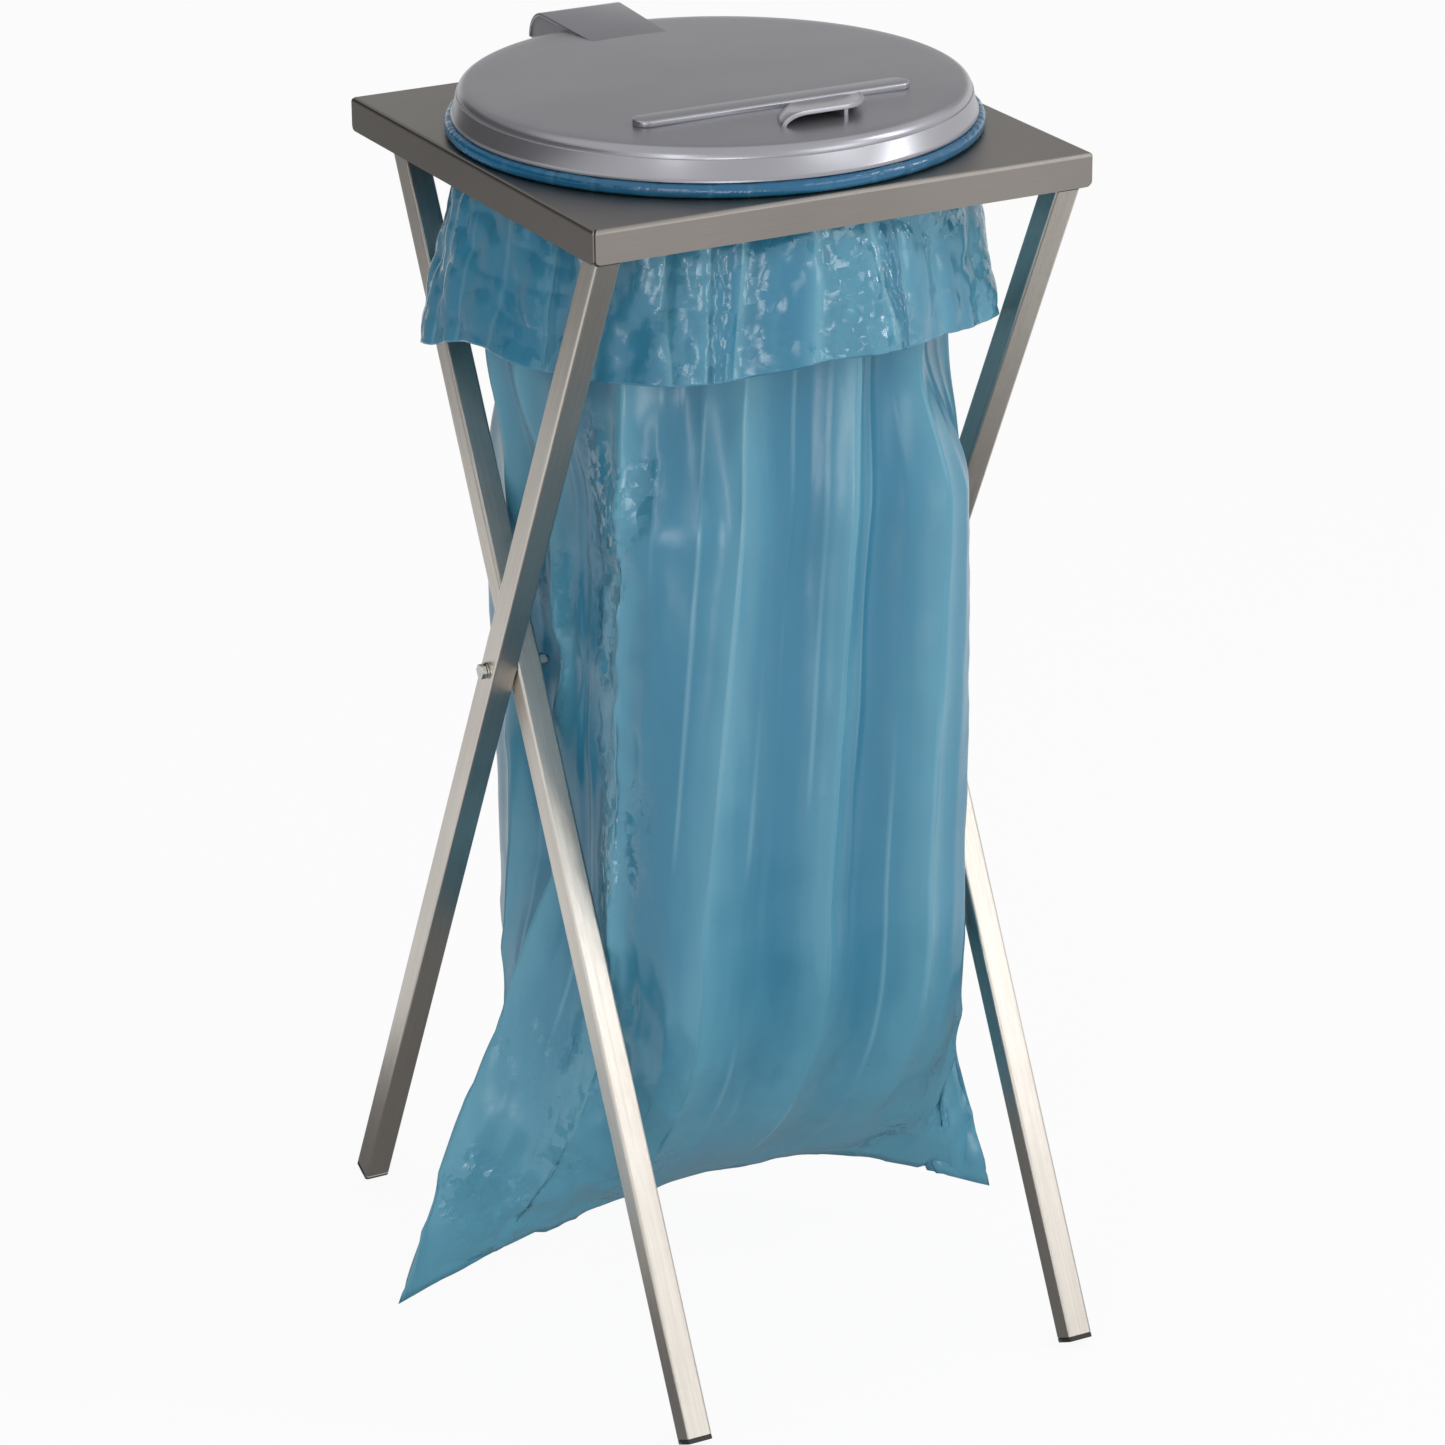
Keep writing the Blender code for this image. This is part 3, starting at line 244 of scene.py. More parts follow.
class Finish:
    """A material with one Principled shader, built up by calls."""

    def __init__(self, name):
        self.material = bpy.data.materials.new(name)
        self.material.use_nodes = True
        self.tree = self.material.node_tree
        self.shader = self.tree.nodes["Principled BSDF"]

    def feed(self, slot, value):
        if isinstance(value, Value):
            self.tree.links.new(value.socket, slot)
        else:
            slot.default_value = value

    def node(self, kind, settings=None, inputs=None, output=0):
        node = self.tree.nodes.new("ShaderNode" + kind)
        for name, setting in (settings or {}).items():
            setattr(node, name, setting)
        for name, value in (inputs or {}).items():
            self.feed(node.inputs[name], value)
        return Value(self, node.outputs[output])

    def place(self, scale=(1, 1, 1), turn=(0, 0, 0)):
        """Object coordinates, turned and then scaled."""
        texture = self.node("TexCoord", output="Object")
        turned = self.node("Mapping", {"vector_type": "TEXTURE"}, {"Vector": texture, "Rotation": turn})
        return self.node("Mapping", {"vector_type": "POINT"}, {"Vector": turned, "Scale": scale})

    def noise(self, scale, detail=2.0, stretch=(1, 1, 1), turn=(0, 0, 0), roughness=0.5):
        inputs = {"Vector": self.place(stretch, turn), "Scale": scale, "Detail": detail,
                  "Roughness": roughness}
        return self.node("TexNoise", None, inputs)

    def stored(self, name):
        """A number that the mesh stores for each point."""
        return self.node("Attribute", {"attribute_name": name}, output="Fac")

    def blend(self, amount, low, high):
        """A colour between two colours."""
        node = self.tree.nodes.new("ShaderNodeMix")
        node.data_type = "RGBA"
        self.feed(node.inputs["Factor"], amount)
        self.feed(node.inputs[6], low)
        self.feed(node.inputs[7], high)
        return Value(self, node.outputs[2])

    def facets(self, scale, stretch=(1, 1, 1), turn=(0, 0, 0)):
        """A height made of flat facets, each tilted in its own way."""
        place = self.place(stretch, turn)
        cell = {"Vector": place, "Scale": scale}
        tilt = self.node("TexVoronoi", None, cell, output="Color")
        middle = self.node("TexVoronoi", None, cell, output="Position")
        away = self.node("VectorMath", {"operation": "SUBTRACT"}, {0: place, 1: middle})
        lean = self.node("VectorMath", {"operation": "SUBTRACT"}, {0: tilt, 1: (0.5, 0.5, 0.5)})
        return self.node("VectorMath", {"operation": "DOT_PRODUCT"}, {0: away, 1: lean}, output=1)

    def bump(self, height, strength, distance):
        return self.node("Bump", None, {"Height": height, "Strength": strength, "Distance": distance})

    def shade(self, **sockets):
        for name, value in sockets.items():
            self.feed(self.shader.inputs[name.replace("_", " ").title().replace("Ior", "IOR")], value)
        return self.material


def colour(red, green, blue):
    """A colour as a screen shows it, from 0 to 255, made linear."""
    linear = []
    for level in (red, green, blue):
        share = level / 255
        linear.append(share / 12.92 if share <= 0.04045 else ((share + 0.055) / 1.055) ** 2.4)
    return (*linear, 1.0)


# Finishes

def brushed_tray():
    """Stainless sheet with a fine grain along its length, a little patchy."""
    finish = Finish("brushed_tray")
    grain = finish.noise(6, 4, stretch=(3, 240, 240))
    fine = finish.noise(9, 3, stretch=(9, 420, 420))
    patches = finish.noise(6, 3)
    tone = (grain * 0.4 + patches * 0.6).ramp(0.25, 0.75)
    return finish.shade(base_color=finish.blend(tone, colour(131, 126, 121), colour(144, 139, 134)),
                        metallic=1.0,
                        roughness=fine * 0.10 + 0.30,
                        normal=finish.bump(fine, 0.05, 0.0004))


def brushed_tube(name, lean):
    """Stainless tube with fine streaks along the tube."""
    finish = Finish(name)
    turn = (lean, 0, 0)
    streaks = finish.noise(6, 3, stretch=(120, 120, 1.6), turn=turn)
    fine = finish.noise(8, 3, stretch=(420, 420, 5), turn=turn)
    patches = finish.noise(7, 3, stretch=(1, 1, 0.5), turn=turn)
    tone = (streaks * 0.35 + patches * 0.65).ramp(0.3, 0.7)
    return finish.shade(base_color=finish.blend(tone, colour(184, 178, 170), colour(205, 200, 193)),
                        metallic=1.0,
                        roughness=fine * 0.14 + 0.26,
                        normal=finish.bump(fine, 0.24, 0.0004))


def bright_steel():
    finish = Finish("bright_steel")
    wear = finish.noise(300, 3)
    return finish.shade(base_color=finish.blend(wear, colour(170, 168, 164), colour(204, 202, 198)),
                        metallic=1.0,
                        roughness=wear * 0.15 + 0.18,
                        normal=finish.bump(wear, 0.05, 0.0002))


def black_plastic():
    finish = Finish("black_plastic")
    grain = finish.noise(900, 2)
    return finish.shade(base_color=finish.blend(grain, colour(24, 24, 25), colour(36, 36, 37)),
                        roughness=grain * 0.1 + 0.42,
                        normal=finish.bump(grain, 0.15, 0.0002))


def grey_plastic():
    finish = Finish("grey_plastic")
    grain = finish.noise(700, 2)
    return finish.shade(base_color=finish.blend(grain, colour(118, 120, 122), colour(128, 130, 132)),
                        roughness=grain * 0.1 + 0.45,
                        normal=finish.bump(grain, 0.1, 0.0002))


def silver_plastic():
    """Grey plastic with fine metal flake, satin, with faint flow marks."""
    finish = Finish("silver_plastic")
    flake = finish.noise(2400, 1)
    flow = finish.noise(7, 3, stretch=(1, 2, 2))
    peel = finish.noise(140, 2)
    tone = (flake * 0.4 + flow * 0.6).ramp(0.2, 0.8)
    return finish.shade(base_color=finish.blend(tone, colour(150, 150, 156), colour(164, 164, 170)),
                        metallic=0.75,
                        roughness=flake * 0.10 + 0.25,
                        normal=finish.bump(peel, 0.02, 0.0004))


def blue_film(name, creasing, wrinkling, gloss):
    """Thin blue film: painted highlights along its creases, painted shade in its folds and on the cuff's left
    side, deeper blue where it lies over the ring, sharp where crumpled.
    """
    finish = Finish(name)
    cloud = finish.noise(12, 3)
    streaks = finish.noise(9, 3, stretch=(6, 6, 0.4))
    layers = finish.stored("layers")
    crumple = finish.stored("crumple")
    # Random tone, with painted shade that darkens the film where its folds lie deep
    tone = (cloud * 0.25 + streaks * 0.35 + (1 - finish.stored("painted_shade")) * 0.6).ramp(0.25, 0.95)
    film = finish.blend(tone, colour(46, 118, 148), colour(86, 150, 174))
    layered = finish.blend(layers, film, colour(4, 92, 132))
    # Painted highlight: a pale colour along the creases
    film_with_painted_highlights = finish.blend(finish.stored("crease") * 0.5, layered, colour(156, 198, 212))
    small = finish.noise(60, 3, stretch=(1, 1, 0.6), roughness=0.6)
    soft = finish.noise(16, 2, stretch=(1, 1, 0.3))
    cells = finish.node("TexVoronoi", {"feature": "F1"},
                        {"Vector": finish.place((1, 1, 0.45)), "Scale": 30})
    crinkled = finish.noise(7, 2).ramp(0.40, 0.60)
    wrinkles = finish.noise(150, 2, stretch=(0.35, 0.35, 1), turn=(0.3, 0, 0), roughness=0.6)
    wrinkled = finish.noise(13, 2, stretch=(1, 1, 0.7)).ramp(0.50, 0.62)
    large_facets = finish.facets(62, (1, 1, 0.7), (0.5, 0.3, 0))
    small_facets = finish.facets(150, (1, 1, 0.8), (0.2, 0.6, 0))
    pleats = finish.noise(95, 3, stretch=(1, 1, 0.15), turn=(0, 0.5, 0))
    height = soft + small * 0.25 + cells * cells * crinkled * 1.2 + wrinkles * wrinkled * wrinkling
    height = height + (large_facets * 0.9 + small_facets) * crumple * 1300 + pleats * layers * 2
    return finish.shade(base_color=film_with_painted_highlights,
                        roughness=small * 0.12 + gloss - crumple * (gloss - 0.10),
                        specular_ior_level=0.6,
                        normal=finish.bump(height, creasing, 0.0022))


# Modelling

def clear_selection():
    if bpy.context.mode != "OBJECT":
        bpy.ops.object.mode_set(mode="OBJECT")
    bpy.ops.object.select_all(action="DESELECT")


def pick(piece, kind, chosen):
    """In edit mode, select the vertices or faces that the test chooses by place and normal."""
    bpy.ops.object.mode_set(mode="OBJECT")
    for group in (piece.data.vertices, piece.data.edges, piece.data.polygons):
        group.foreach_set("select", [False] * len(group))
    items = piece.data.vertices if kind == "VERT" else piece.data.polygons
    for item in items:
        place = item.co if kind == "VERT" else item.center
        item.select = chosen(place, item.normal)
    bpy.ops.object.mode_set(mode="EDIT")
    bpy.ops.mesh.select_mode(type=kind)


def paint(item, material):
    """Give an object its one material."""
    item.data.materials.clear()
    item.data.materials.append(material)


def name_and_paint(piece, name, material):
    piece.name = name
    piece.data.name = name
    paint(piece, material)


def finish_piece(piece, name, material, angle=35):
    """Leave edit mode with the faces outwards, named, smooth and painted."""
    bpy.ops.object.mode_set(mode="EDIT")
    bpy.ops.mesh.select_all(action="SELECT")
    bpy.ops.mesh.normals_make_consistent(inside=False)
    bpy.ops.object.mode_set(mode="OBJECT")
    name_and_paint(piece, name, material)
    bpy.ops.object.shade_smooth_by_angle(angle=math.radians(angle))
    return piece


def apply(piece, kind, **settings):
    modifier = piece.modifiers.new(kind.lower(), kind)
    for name, value in settings.items():
        setattr(modifier, name, value)
    bpy.context.view_layer.objects.active = piece
    bpy.ops.object.modifier_apply(modifier=modifier.name)


def lies(piece, body, node):
    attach(piece, body)
    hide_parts(node)


# Lid

def dome_height(radius):
    return DOME_TOP - DOME_RISE * (radius / DOME_RADIUS) ** 2


def arc(centre, radius, start, end, steps):
    """Points along an arc in a plane, from one angle to another in degrees."""
    turns = [math.radians(start + (end - start) * step / steps) for step in range(steps + 1)]
    return [(centre[0] + radius * math.cos(turn), centre[1] + radius * math.sin(turn)) for turn in turns]


def lid_profile():
    """(radius, height) points from near the lid's middle, down its outside and back up its inside."""
    radii = [DOME_RADIUS * share for share in (0.1, 0.3, 0.5, 0.7, 0.85, 0.96)]
    outside = [(radius, dome_height(radius)) for radius in radii]
    outside += arc((DOME_RADIUS, SKIRT_TOP), SHOULDER_RADIUS, 84, 8, 9)
    outside += [(DOME_RADIUS + SHOULDER_RADIUS, SKIRT_TOP + 0.0002)]
    outside += [(SKIRT_TOP_RADIUS - 0.0003, SKIRT_TOP), (SKIRT_TOP_RADIUS, SKIRT_TOP - 0.0004)]
    low = LID_BOTTOM + LID_LIP_HEIGHT
    outside += [(SKIRT_TOP_RADIUS + SKIRT_TAPER, low + 0.0009)]
    outside += [(LID_RADIUS - 0.0008, low + 0.0003), (LID_RADIUS, low - 0.0004)]
    outside += [(LID_RADIUS, LID_BOTTOM + 0.0006), (LID_RADIUS - 0.0006, LID_BOTTOM)]
    inside = [(radius, dome_height(radius) - LID_WALL) for radius in radii]
    inside += arc((DOME_RADIUS, SKIRT_TOP), SHOULDER_RADIUS - LID_WALL, 84, 0, 5)
    inside += [(SKIRT_TOP_RADIUS + SKIRT_TAPER - LID_WALL, LID_BOTTOM)]
    return outside + inside[::-1]


def lid_shell(material):
    """The dished lid: a disc whose rim is extruded down the outside and back up the inside."""
    clear_selection()
    profile = lid_profile()
    radius, height = profile[0]
    bpy.ops.mesh.primitive_circle_add(vertices=LID_STEPS, radius=radius, fill_type="TRIFAN",
                                      location=(STAND_X, 0, height))
    piece = bpy.context.object
    pick(piece, "VERT", lambda place, normal: place.xy.length > radius / 2)
    bpy.ops.mesh.select_mode(type="EDGE")
    for next_radius, next_height in profile[1:]:
        bpy.ops.mesh.extrude_edges_move(TRANSFORM_OT_translate={"value": (0, 0, next_height - height)})
        bpy.ops.transform.resize(value=(next_radius / radius, next_radius / radius, 1))
        radius, height = next_radius, next_height
    bpy.ops.mesh.edge_face_add()
    return finish_piece(piece, "lid_shell", material, 40)


def lid_bar(material):
    """Raised bar: a disc pulled apart into a long outline, raised, with its upper edge rounded."""
    clear_selection()
    low = dome_height(BAR_FORWARD) - LID_WALL * 0.6
    bpy.ops.mesh.primitive_circle_add(vertices=50, radius=BAR_WIDTH / 2, fill_type="NGON",
                                      location=(STAND_X, -BAR_FORWARD, low))
    piece = bpy.context.object
    for side in (-1, 1):
        pick(piece, "VERT", lambda place, normal: place.x * side > 0.0001)
        bpy.ops.transform.translate(value=(side * (BAR_LENGTH - BAR_WIDTH) / 2, 0, 0))
    bpy.ops.mesh.select_all(action="SELECT")
    height = dome_height(BAR_FORWARD) + BAR_HEIGHT - low
    bpy.ops.mesh.extrude_region_move(TRANSFORM_OT_translate={"value": (0, 0, height)})
    bpy.ops.object.mode_set(mode="OBJECT")
    apply(piece, "BEVEL", width=0.0016, segments=4, limit_method="ANGLE", angle_limit=math.radians(50))
    return finish_piece(piece, "lid_bar", material)


def grip_left(share):
    """Left end of the grip's roof, further right the nearer it is to the bar."""
    return -GRIP_LEFT + GRIP_SLANT * share ** 1.5


def grip_surface(x, share):
    """Depth and height of the grip's roof, for x along it and a share back from its front."""
    past_wall = np.clip((x - GRIP_WALL_RIGHT) / (GRIP_RIGHT - GRIP_WALL_RIGHT), 0, 1)
    reach = mix(BAR_WIDTH, GRIP_REACH, np.sqrt(1 - (past_wall * 0.97) ** 2))
    risen = np.clip((x - grip_left(share)) / GRIP_RISE_LENGTH, 0, 1)
    front = GRIP_HEIGHT * np.sqrt(1 - (1 - risen) ** 2)
    back = (BAR_HEIGHT - 0.0006) * smooth(risen * 2)
    dish = GRIP_DISH * np.sin(np.pi * np.clip(share * 1.25, 0, 1)) * smooth(risen * 1.2 - 0.2)
    base = dome_height(BAR_FORWARD + GRIP_REACH) - 0.0008
    return -BAR_FORWARD - reach * (1 - share), base + mix(front, back, smooth(share)) - dish


def lid_grip(material):
    """Roof that a hand lifts the lid by: it rises from its left foot and ends in a round lip."""
    clear_selection()
    columns, rows = 44, 16
    bpy.ops.mesh.primitive_grid_add(x_subdivisions=columns, y_subdivisions=rows, size=1)
    piece = bpy.context.object
    places = grid_places(piece)
    share = places[:, 1] + 0.5
    x = mix(grip_left(share), GRIP_RIGHT, (places[:, 0] + 0.5) ** 1.15)
    y, z = grip_surface(x, share)
    move_points(piece, np.stack([x + STAND_X, y, z], axis=1))
    apply(piece, "SOLIDIFY", thickness=GRIP_WALL, offset=-1)
    apply(piece, "BEVEL", width=0.0015, segments=4, limit_method="ANGLE", angle_limit=math.radians(50))
    return finish_piece(piece, "lid_grip", material, 60)


def side_slab(name, outline, left, right, material, bevel):
    """A flat outline of (y, z) points that is extruded from left to right and has its edges rounded."""
    clear_selection()
    bpy.ops.mesh.primitive_circle_add(vertices=len(outline), radius=1, fill_type="NGON")
    piece = bpy.context.object
    move_points(piece, np.array([(left, y, z) for y, z in outline]))
    bpy.ops.object.mode_set(mode="EDIT")
    bpy.ops.mesh.select_all(action="SELECT")
    bpy.ops.mesh.extrude_region_move(TRANSFORM_OT_translate={"value": (right - left, 0, 0)})
    bpy.ops.object.mode_set(mode="OBJECT")
    apply(piece, "BEVEL", width=bevel, segments=3, limit_method="ANGLE", angle_limit=math.radians(50))
    return finish_piece(piece, name, material)


def lid_grip_wall(material):
    """Upright wall under the right side of the grip's roof."""
    fronts = [grip_surface(np.float64(GRIP_WALL_RIGHT), np.float64(share)) for share in (0.03, 0.3, 0.55, 0.8)]
    low = dome_height(BAR_FORWARD + GRIP_REACH) - 0.001
    outline = [(y, z - GRIP_WALL / 2) for y, z in fronts]
    outline += [(fronts[-1][0], low), (fronts[0][0], low)]
    left = STAND_X + GRIP_WALL_RIGHT - GRIP_WALL / 2
    return side_slab("lid_grip_wall", outline, left, left + GRIP_WALL, material, 0.0004)


def arm_line(wall):
    """The hinge arm's upper line as (y, z), from the dome to the bottom of its curl."""
    start = (ARM_START, dome_height(ARM_START) - 0.0006 - wall)
    return [start] + arc(HINGE.yz, ARM_CURL_RADIUS - wall, 90, -2, 20)


def hinge_arm(material):
    """Plate that leaves the dome, widens and curls down round the hinge, with a wall at each side."""
    half = ARM_WIDTH / 2
    plate = side_slab("hinge_arm", arm_line(0) + arm_line(ARM_WALL)[::-1],
                      STAND_X - half, STAND_X + half, material, 0.0009)
    places = np.array([vert.co for vert in plate.data.vertices])
    back = smooth((places[:, 1] - ARM_START) / (HINGE.y - ARM_START))
    places[:, 0] = STAND_X + (places[:, 0] - STAND_X) * mix(ARM_START_WIDTH / ARM_WIDTH, 1, back)
    move_points(plate, places)
    lip = LID_BOTTOM + 0.0012
    lower = arc(HINGE.yz, KNUCKLE_RADIUS, -45, -135, 8)
    lower += [(RING_OUTER_RADIUS + 0.0012, lip), (LID_RADIUS - 0.006, lip), (LID_RADIUS - 0.012, SKIRT_TOP)]
    outline = arm_line(ARM_WALL * 0.7) + lower
    walls = []
    for name, side in (("left", -1), ("right", 1)):
        inner = STAND_X + side * (half - ARM_WALL - 0.001)
        outer = STAND_X + side * (half - 0.001)
        walls.append(side_slab(f"hinge_arm_wall_{name}", outline, min(inner, outer), max(inner, outer),
                               material, 0.0004))
    return [plate] + walls


def dress_lid():
    material = silver_plastic()
    pieces = [lid_shell(material), lid_bar(material), lid_grip(material), lid_grip_wall(material)]
    pieces += hinge_arm(material)
    for piece in pieces:
        lies(piece, "lid", "lid")


# Film

def smooth(value):
    value = np.clip(value, 0, 1)
    return value * value * (3 - 2 * value)


def rise(value, start, end):
    """0 at the start and before it, 1 at the end and past it."""
    return smooth((value - start) / (end - start))


def mix(start, end, share):
    return start + (end - start) * share


def grid_places(piece):
    flat = np.empty(len(piece.data.vertices) * 3)
    piece.data.vertices.foreach_get("co", flat)
    return flat.reshape(-1, 3)


def move_points(piece, places):
    """Put the mesh's points at the places, measured from the world's origin."""
    piece.location = (0, 0, 0)
    piece.data.vertices.foreach_set("co", np.ascontiguousarray(places, dtype=np.float64).ravel())
    piece.data.update()


def seeded(seed, count, low, high):
    """The same numbers each run, spread between low and high."""
    draw = random.Random(seed)
    return np.array([draw.uniform(low, high) for _ in range(count)])


def crumples(places, size, stretch, seed):
    """Hollows from 0 up to sharp ridges of about 1 between them, from a field of cells."""
    shift = Vector((seed * 3.1, seed * 7.7, seed * 5.3))
    scale = Vector((1 / size, 1 / size, 1 / size / stretch))
    flat = places.reshape(-1, 3)
    values = [noise.voronoi(Vector(point) * scale + shift)[0][0] for point in flat]
    return (np.array(values) ** 2).reshape(places.shape[:2])


def waves(places, size, stretch, seed):
    """A soft uneven wave between about -1 and 1."""
    shift = Vector((seed * 5.9, seed * 2.3, seed * 8.1))
    scale = Vector((1 / size, 1 / size, 1 / size / stretch))
    values = [noise.noise(Vector(point) * scale + shift) for point in places.reshape(-1, 3)]
    return np.array(values).reshape(places.shape[:2])


def relief(field, places, layers):
    """The sum of a field's layers, each with its size, upward stretch, seed and height."""
    return sum(field(places, size, stretch, seed) * height for size, stretch, seed, height in layers)


def patches(places, size, stretch, seed, level):
    """1 in patches with soft edges and 0 between them, with more of them at a higher level."""
    return smooth(waves(places, size, stretch, seed) * 3 + level)


def bell(value, middle, width):
    """1 at the middle, falling off on both sides."""
    return np.exp(-((value - middle) / width) ** 2)


def band(value, middle, half_width, edge):
    """1 within a band, with a soft edge inside it."""
    return smooth((half_width - np.abs(value - middle)) / edge)


def panel(share, starts):
    """For a share between two starts: its depth from 0 at a start to 1, their distance and their number."""
    edges = np.concatenate((starts, [1.0]))
    index = np.clip(np.searchsorted(edges, share, side="right") - 1, 0, len(starts) - 1)
    width = edges[index + 1] - edges[index]
    inside = (share - edges[index]) / width
    return 1 - np.abs(2 * inside - 1) ** 1.7, width, index


def film_over_ring():
    """The film's path as (radius, height) points, from inside the ring, over it and under it."""
    edge = RING_EDGE + FILM_OFFSET
    inner = RING_INNER_RADIUS + RING_EDGE
    outer = RING_OUTER_RADIUS - RING_EDGE
    low = RING_LOW.z + RING_EDGE
    high = RING_HIGH.z - RING_EDGE
    turn = FILM_HOLE_CLEARANCE
    path = arc((inner, high), edge, 180, 90, 5) + arc((outer, high), edge, 90, 0, 6)
    path += arc((outer, low), edge, 0, -90, 6)
    return path + arc((HOLE_RADIUS, low - edge - turn), turn, 90, 180, 4)


def evenly(path, count):
    """A path's points at even distances."""
    path = np.array(path)
    travelled = np.concatenate(([0], np.cumsum(np.linalg.norm(np.diff(path, axis=0), axis=1))))
    places = np.linspace(0, travelled[-1], count)
    return np.stack([np.interp(places, travelled, path[:, axis]) for axis in range(2)], axis=1)


def small_folds():
    """For each column, its depth between two small crests, its panel's width, and a number for the panel."""
    depth = np.empty(BODY_COLUMNS)
    width = np.empty(BODY_COLUMNS)
    number = np.empty(BODY_COLUMNS)
    share = np.arange(FOLD_COLUMNS) / FOLD_COLUMNS
    for fold in range(len(BAG_CRESTS)):
        gaps = seeded(fold + 40, 4 - fold % 2, 0.6, 1.6)
        starts = np.rint(np.concatenate(([0], np.cumsum(gaps)[:-1])) / gaps.sum() * FOLD_COLUMNS)
        here = slice(fold * FOLD_COLUMNS, (fold + 1) * FOLD_COLUMNS)
        depth[here], width[here], index = panel(share, starts / FOLD_COLUMNS)
        number[here] = index + fold * 7
    return depth, width, number


SMALL_DEPTH, SMALL_WIDTH, SMALL_NUMBER = small_folds()


def fold_place(column, height, fold_start):
    """Each column's angle, and how deep it lies in its main fold."""
    count = len(BAG_CRESTS)
    place = column * count / BODY_COLUMNS
    crest = np.floor(place).astype(int) % count
    share = place - np.floor(place)
    shift, lean, strength = np.array(BAG_CRESTS, dtype=float).T
    above = height - BAG_SPREAD_HEIGHT
    near = shift[crest] + lean[crest] * above
    far = shift[(crest + 1) % count] + lean[(crest + 1) % count] * above
    angle = 360 / count * place + mix(near, far, share) * fold_start
    return angle, (1 - np.abs(2 * share - 1) ** 2) * strength[crest]


def small_strength(height):
    """How much of each small fold shows at a height: each comes and goes in its own way."""
    shown = smooth(0.5 + 0.7 * np.sin(height * SMALL_FOLD_CHANGE + SMALL_NUMBER * 2.4))
    return mix(SMALL_FOLD_LEAST, 1, shown)


def body_points(column, height):
    """The hanging bag's points: round below the ring, then squarer, with upright folds."""
    fold_start = smooth((TRAY_HIGH.z - height) / BAG_ROUND_LENGTH)
    angle, depth = fold_place(column, height, fold_start)
    turn = np.radians(angle)
    cos, sin = np.cos(turn), np.sin(turn)
    squareness = smooth((BAG_SQUARE_TOP - height) / BAG_TURN_LENGTH)
    square = ((np.abs(cos) / BAG_HALF_WIDTH) ** BAG_SQUARENESS
              + (np.abs(sin) / BAG_HALF_DEPTH) ** BAG_SQUARENESS) ** (-1 / BAG_SQUARENESS)
    radius = mix(RING_INNER_RADIUS - FILM_OFFSET, square, squareness)
    small = SMALL_FOLD_DEPTH * SMALL_DEPTH * SMALL_WIDTH / 0.3 * small_strength(height)
    radius -= fold_start * (BAG_FOLD_DEPTH * depth + small)
    x = radius * cos
    y = radius * sin
    dent = BAG_DENT * np.exp(-(y ** 2 + (height - CROSS_HEIGHT) ** 2) / BAG_DENT_REACH ** 2)
    return x - np.copysign(dent, cos), y - BAG_FORWARD * squareness, depth * fold_start


def lower_points(column, share):
    """The bag's lower part, from its full section down to the flat bottom seam."""
    x, y, depth = body_points(column, BAG_SPREAD_HEIGHT)
    angle = fold_place(column, BAG_SPREAD_HEIGHT, 1 - share)[0]
    turn = np.radians(angle)
    cos = np.cos(turn)
    reach = np.where(x > 0, BAG_RIGHT_CORNER_REACH, BAG_LEFT_CORNER_REACH)
    power = mix(BAG_CORNER_POWER_HIGH, BAG_CORNER_POWER_LOW, share)
    x = x + np.copysign(reach * share * np.abs(cos) ** power, x)
    y = mix(y, BAG_HEM_HALF_THICKNESS * np.sin(turn), share ** BAG_CLOSING_POWER)
    y = y - BAG_RIGHT_CORNER_FORWARD * share * np.maximum(cos, 0) ** BAG_CORNER_FORWARD_POWER
    hem = BAG_HEM_HEIGHT - BAG_HEM_DROP * (x / (BAG_HALF_WIDTH + reach)) ** 2 * share
    return x, y, mix(BAG_SPREAD_HEIGHT, hem, share), depth * (1 - share)


def behind_leg(x, y, height):
    """Points of the cuff, drawn in behind the inner face of a leg that they would meet."""
    face = np.where(y < 0, OUTER_LEG_FACE, INNER_LEG_FACE) - CUFF_LEG_CLEARANCE
    leg_y = (height - CROSS_HEIGHT) * math.tan(LEG_LEAN)
    past = np.abs(np.abs(y) - leg_y) - TUBE / 2 / math.cos(LEG_LEAN) - CUFF_LEG_MARGIN
    nearness = smooth(1 - past / CUFF_LEG_BEND)
    return mix(x, np.copysign(np.minimum(np.abs(x), face), x), nearness)


def cuff_crests():
    """Angles of the cuff's creases at the ring and at the open edge, and the depth after each."""
    even = np.arange(CUFF_CRESTS) * 360 / CUFF_CRESTS
    top = even + seeded(3, CUFF_CRESTS, -CUFF_CREST_SHIFT, CUFF_CREST_SHIFT)
    low = top + seeded(8, CUFF_CRESTS, -CUFF_CREST_LEAN, CUFF_CREST_LEAN)
    return top, low, seeded(14, CUFF_CRESTS, CUFF_CREST_LEAST, 1.0)


CREST_TOP, CREST_LOW, CREST_DEPTH = cuff_crests()


def cuff_place(share):
    """For each column its angle, its depth between two creases, and 1 on a crease."""
    place = np.arange(CUFF_COLUMNS) * CUFF_CRESTS / CUFF_COLUMNS
    crest = np.floor(place).astype(int)
    after = (crest + 1) % CUFF_CRESTS
    inside = place - crest
    at = mix(CREST_TOP, CREST_LOW, share)
    angle = mix(at[crest], at[after] + 360 * (after == 0), inside)
    past = (inside - CUFF_SECOND_CREST) / (1 - CUFF_SECOND_CREST)
    second = np.where(inside < CUFF_SECOND_CREST, inside / CUFF_SECOND_CREST, past)
    depth = (1 - np.abs(2 * inside - 1) ** 1.8) + CUFF_SECOND_DEPTH * (1 - np.abs(2 * second - 1) ** 1.6)
    return angle, depth * CREST_DEPTH[crest], (inside == 0) * CREST_DEPTH[crest]


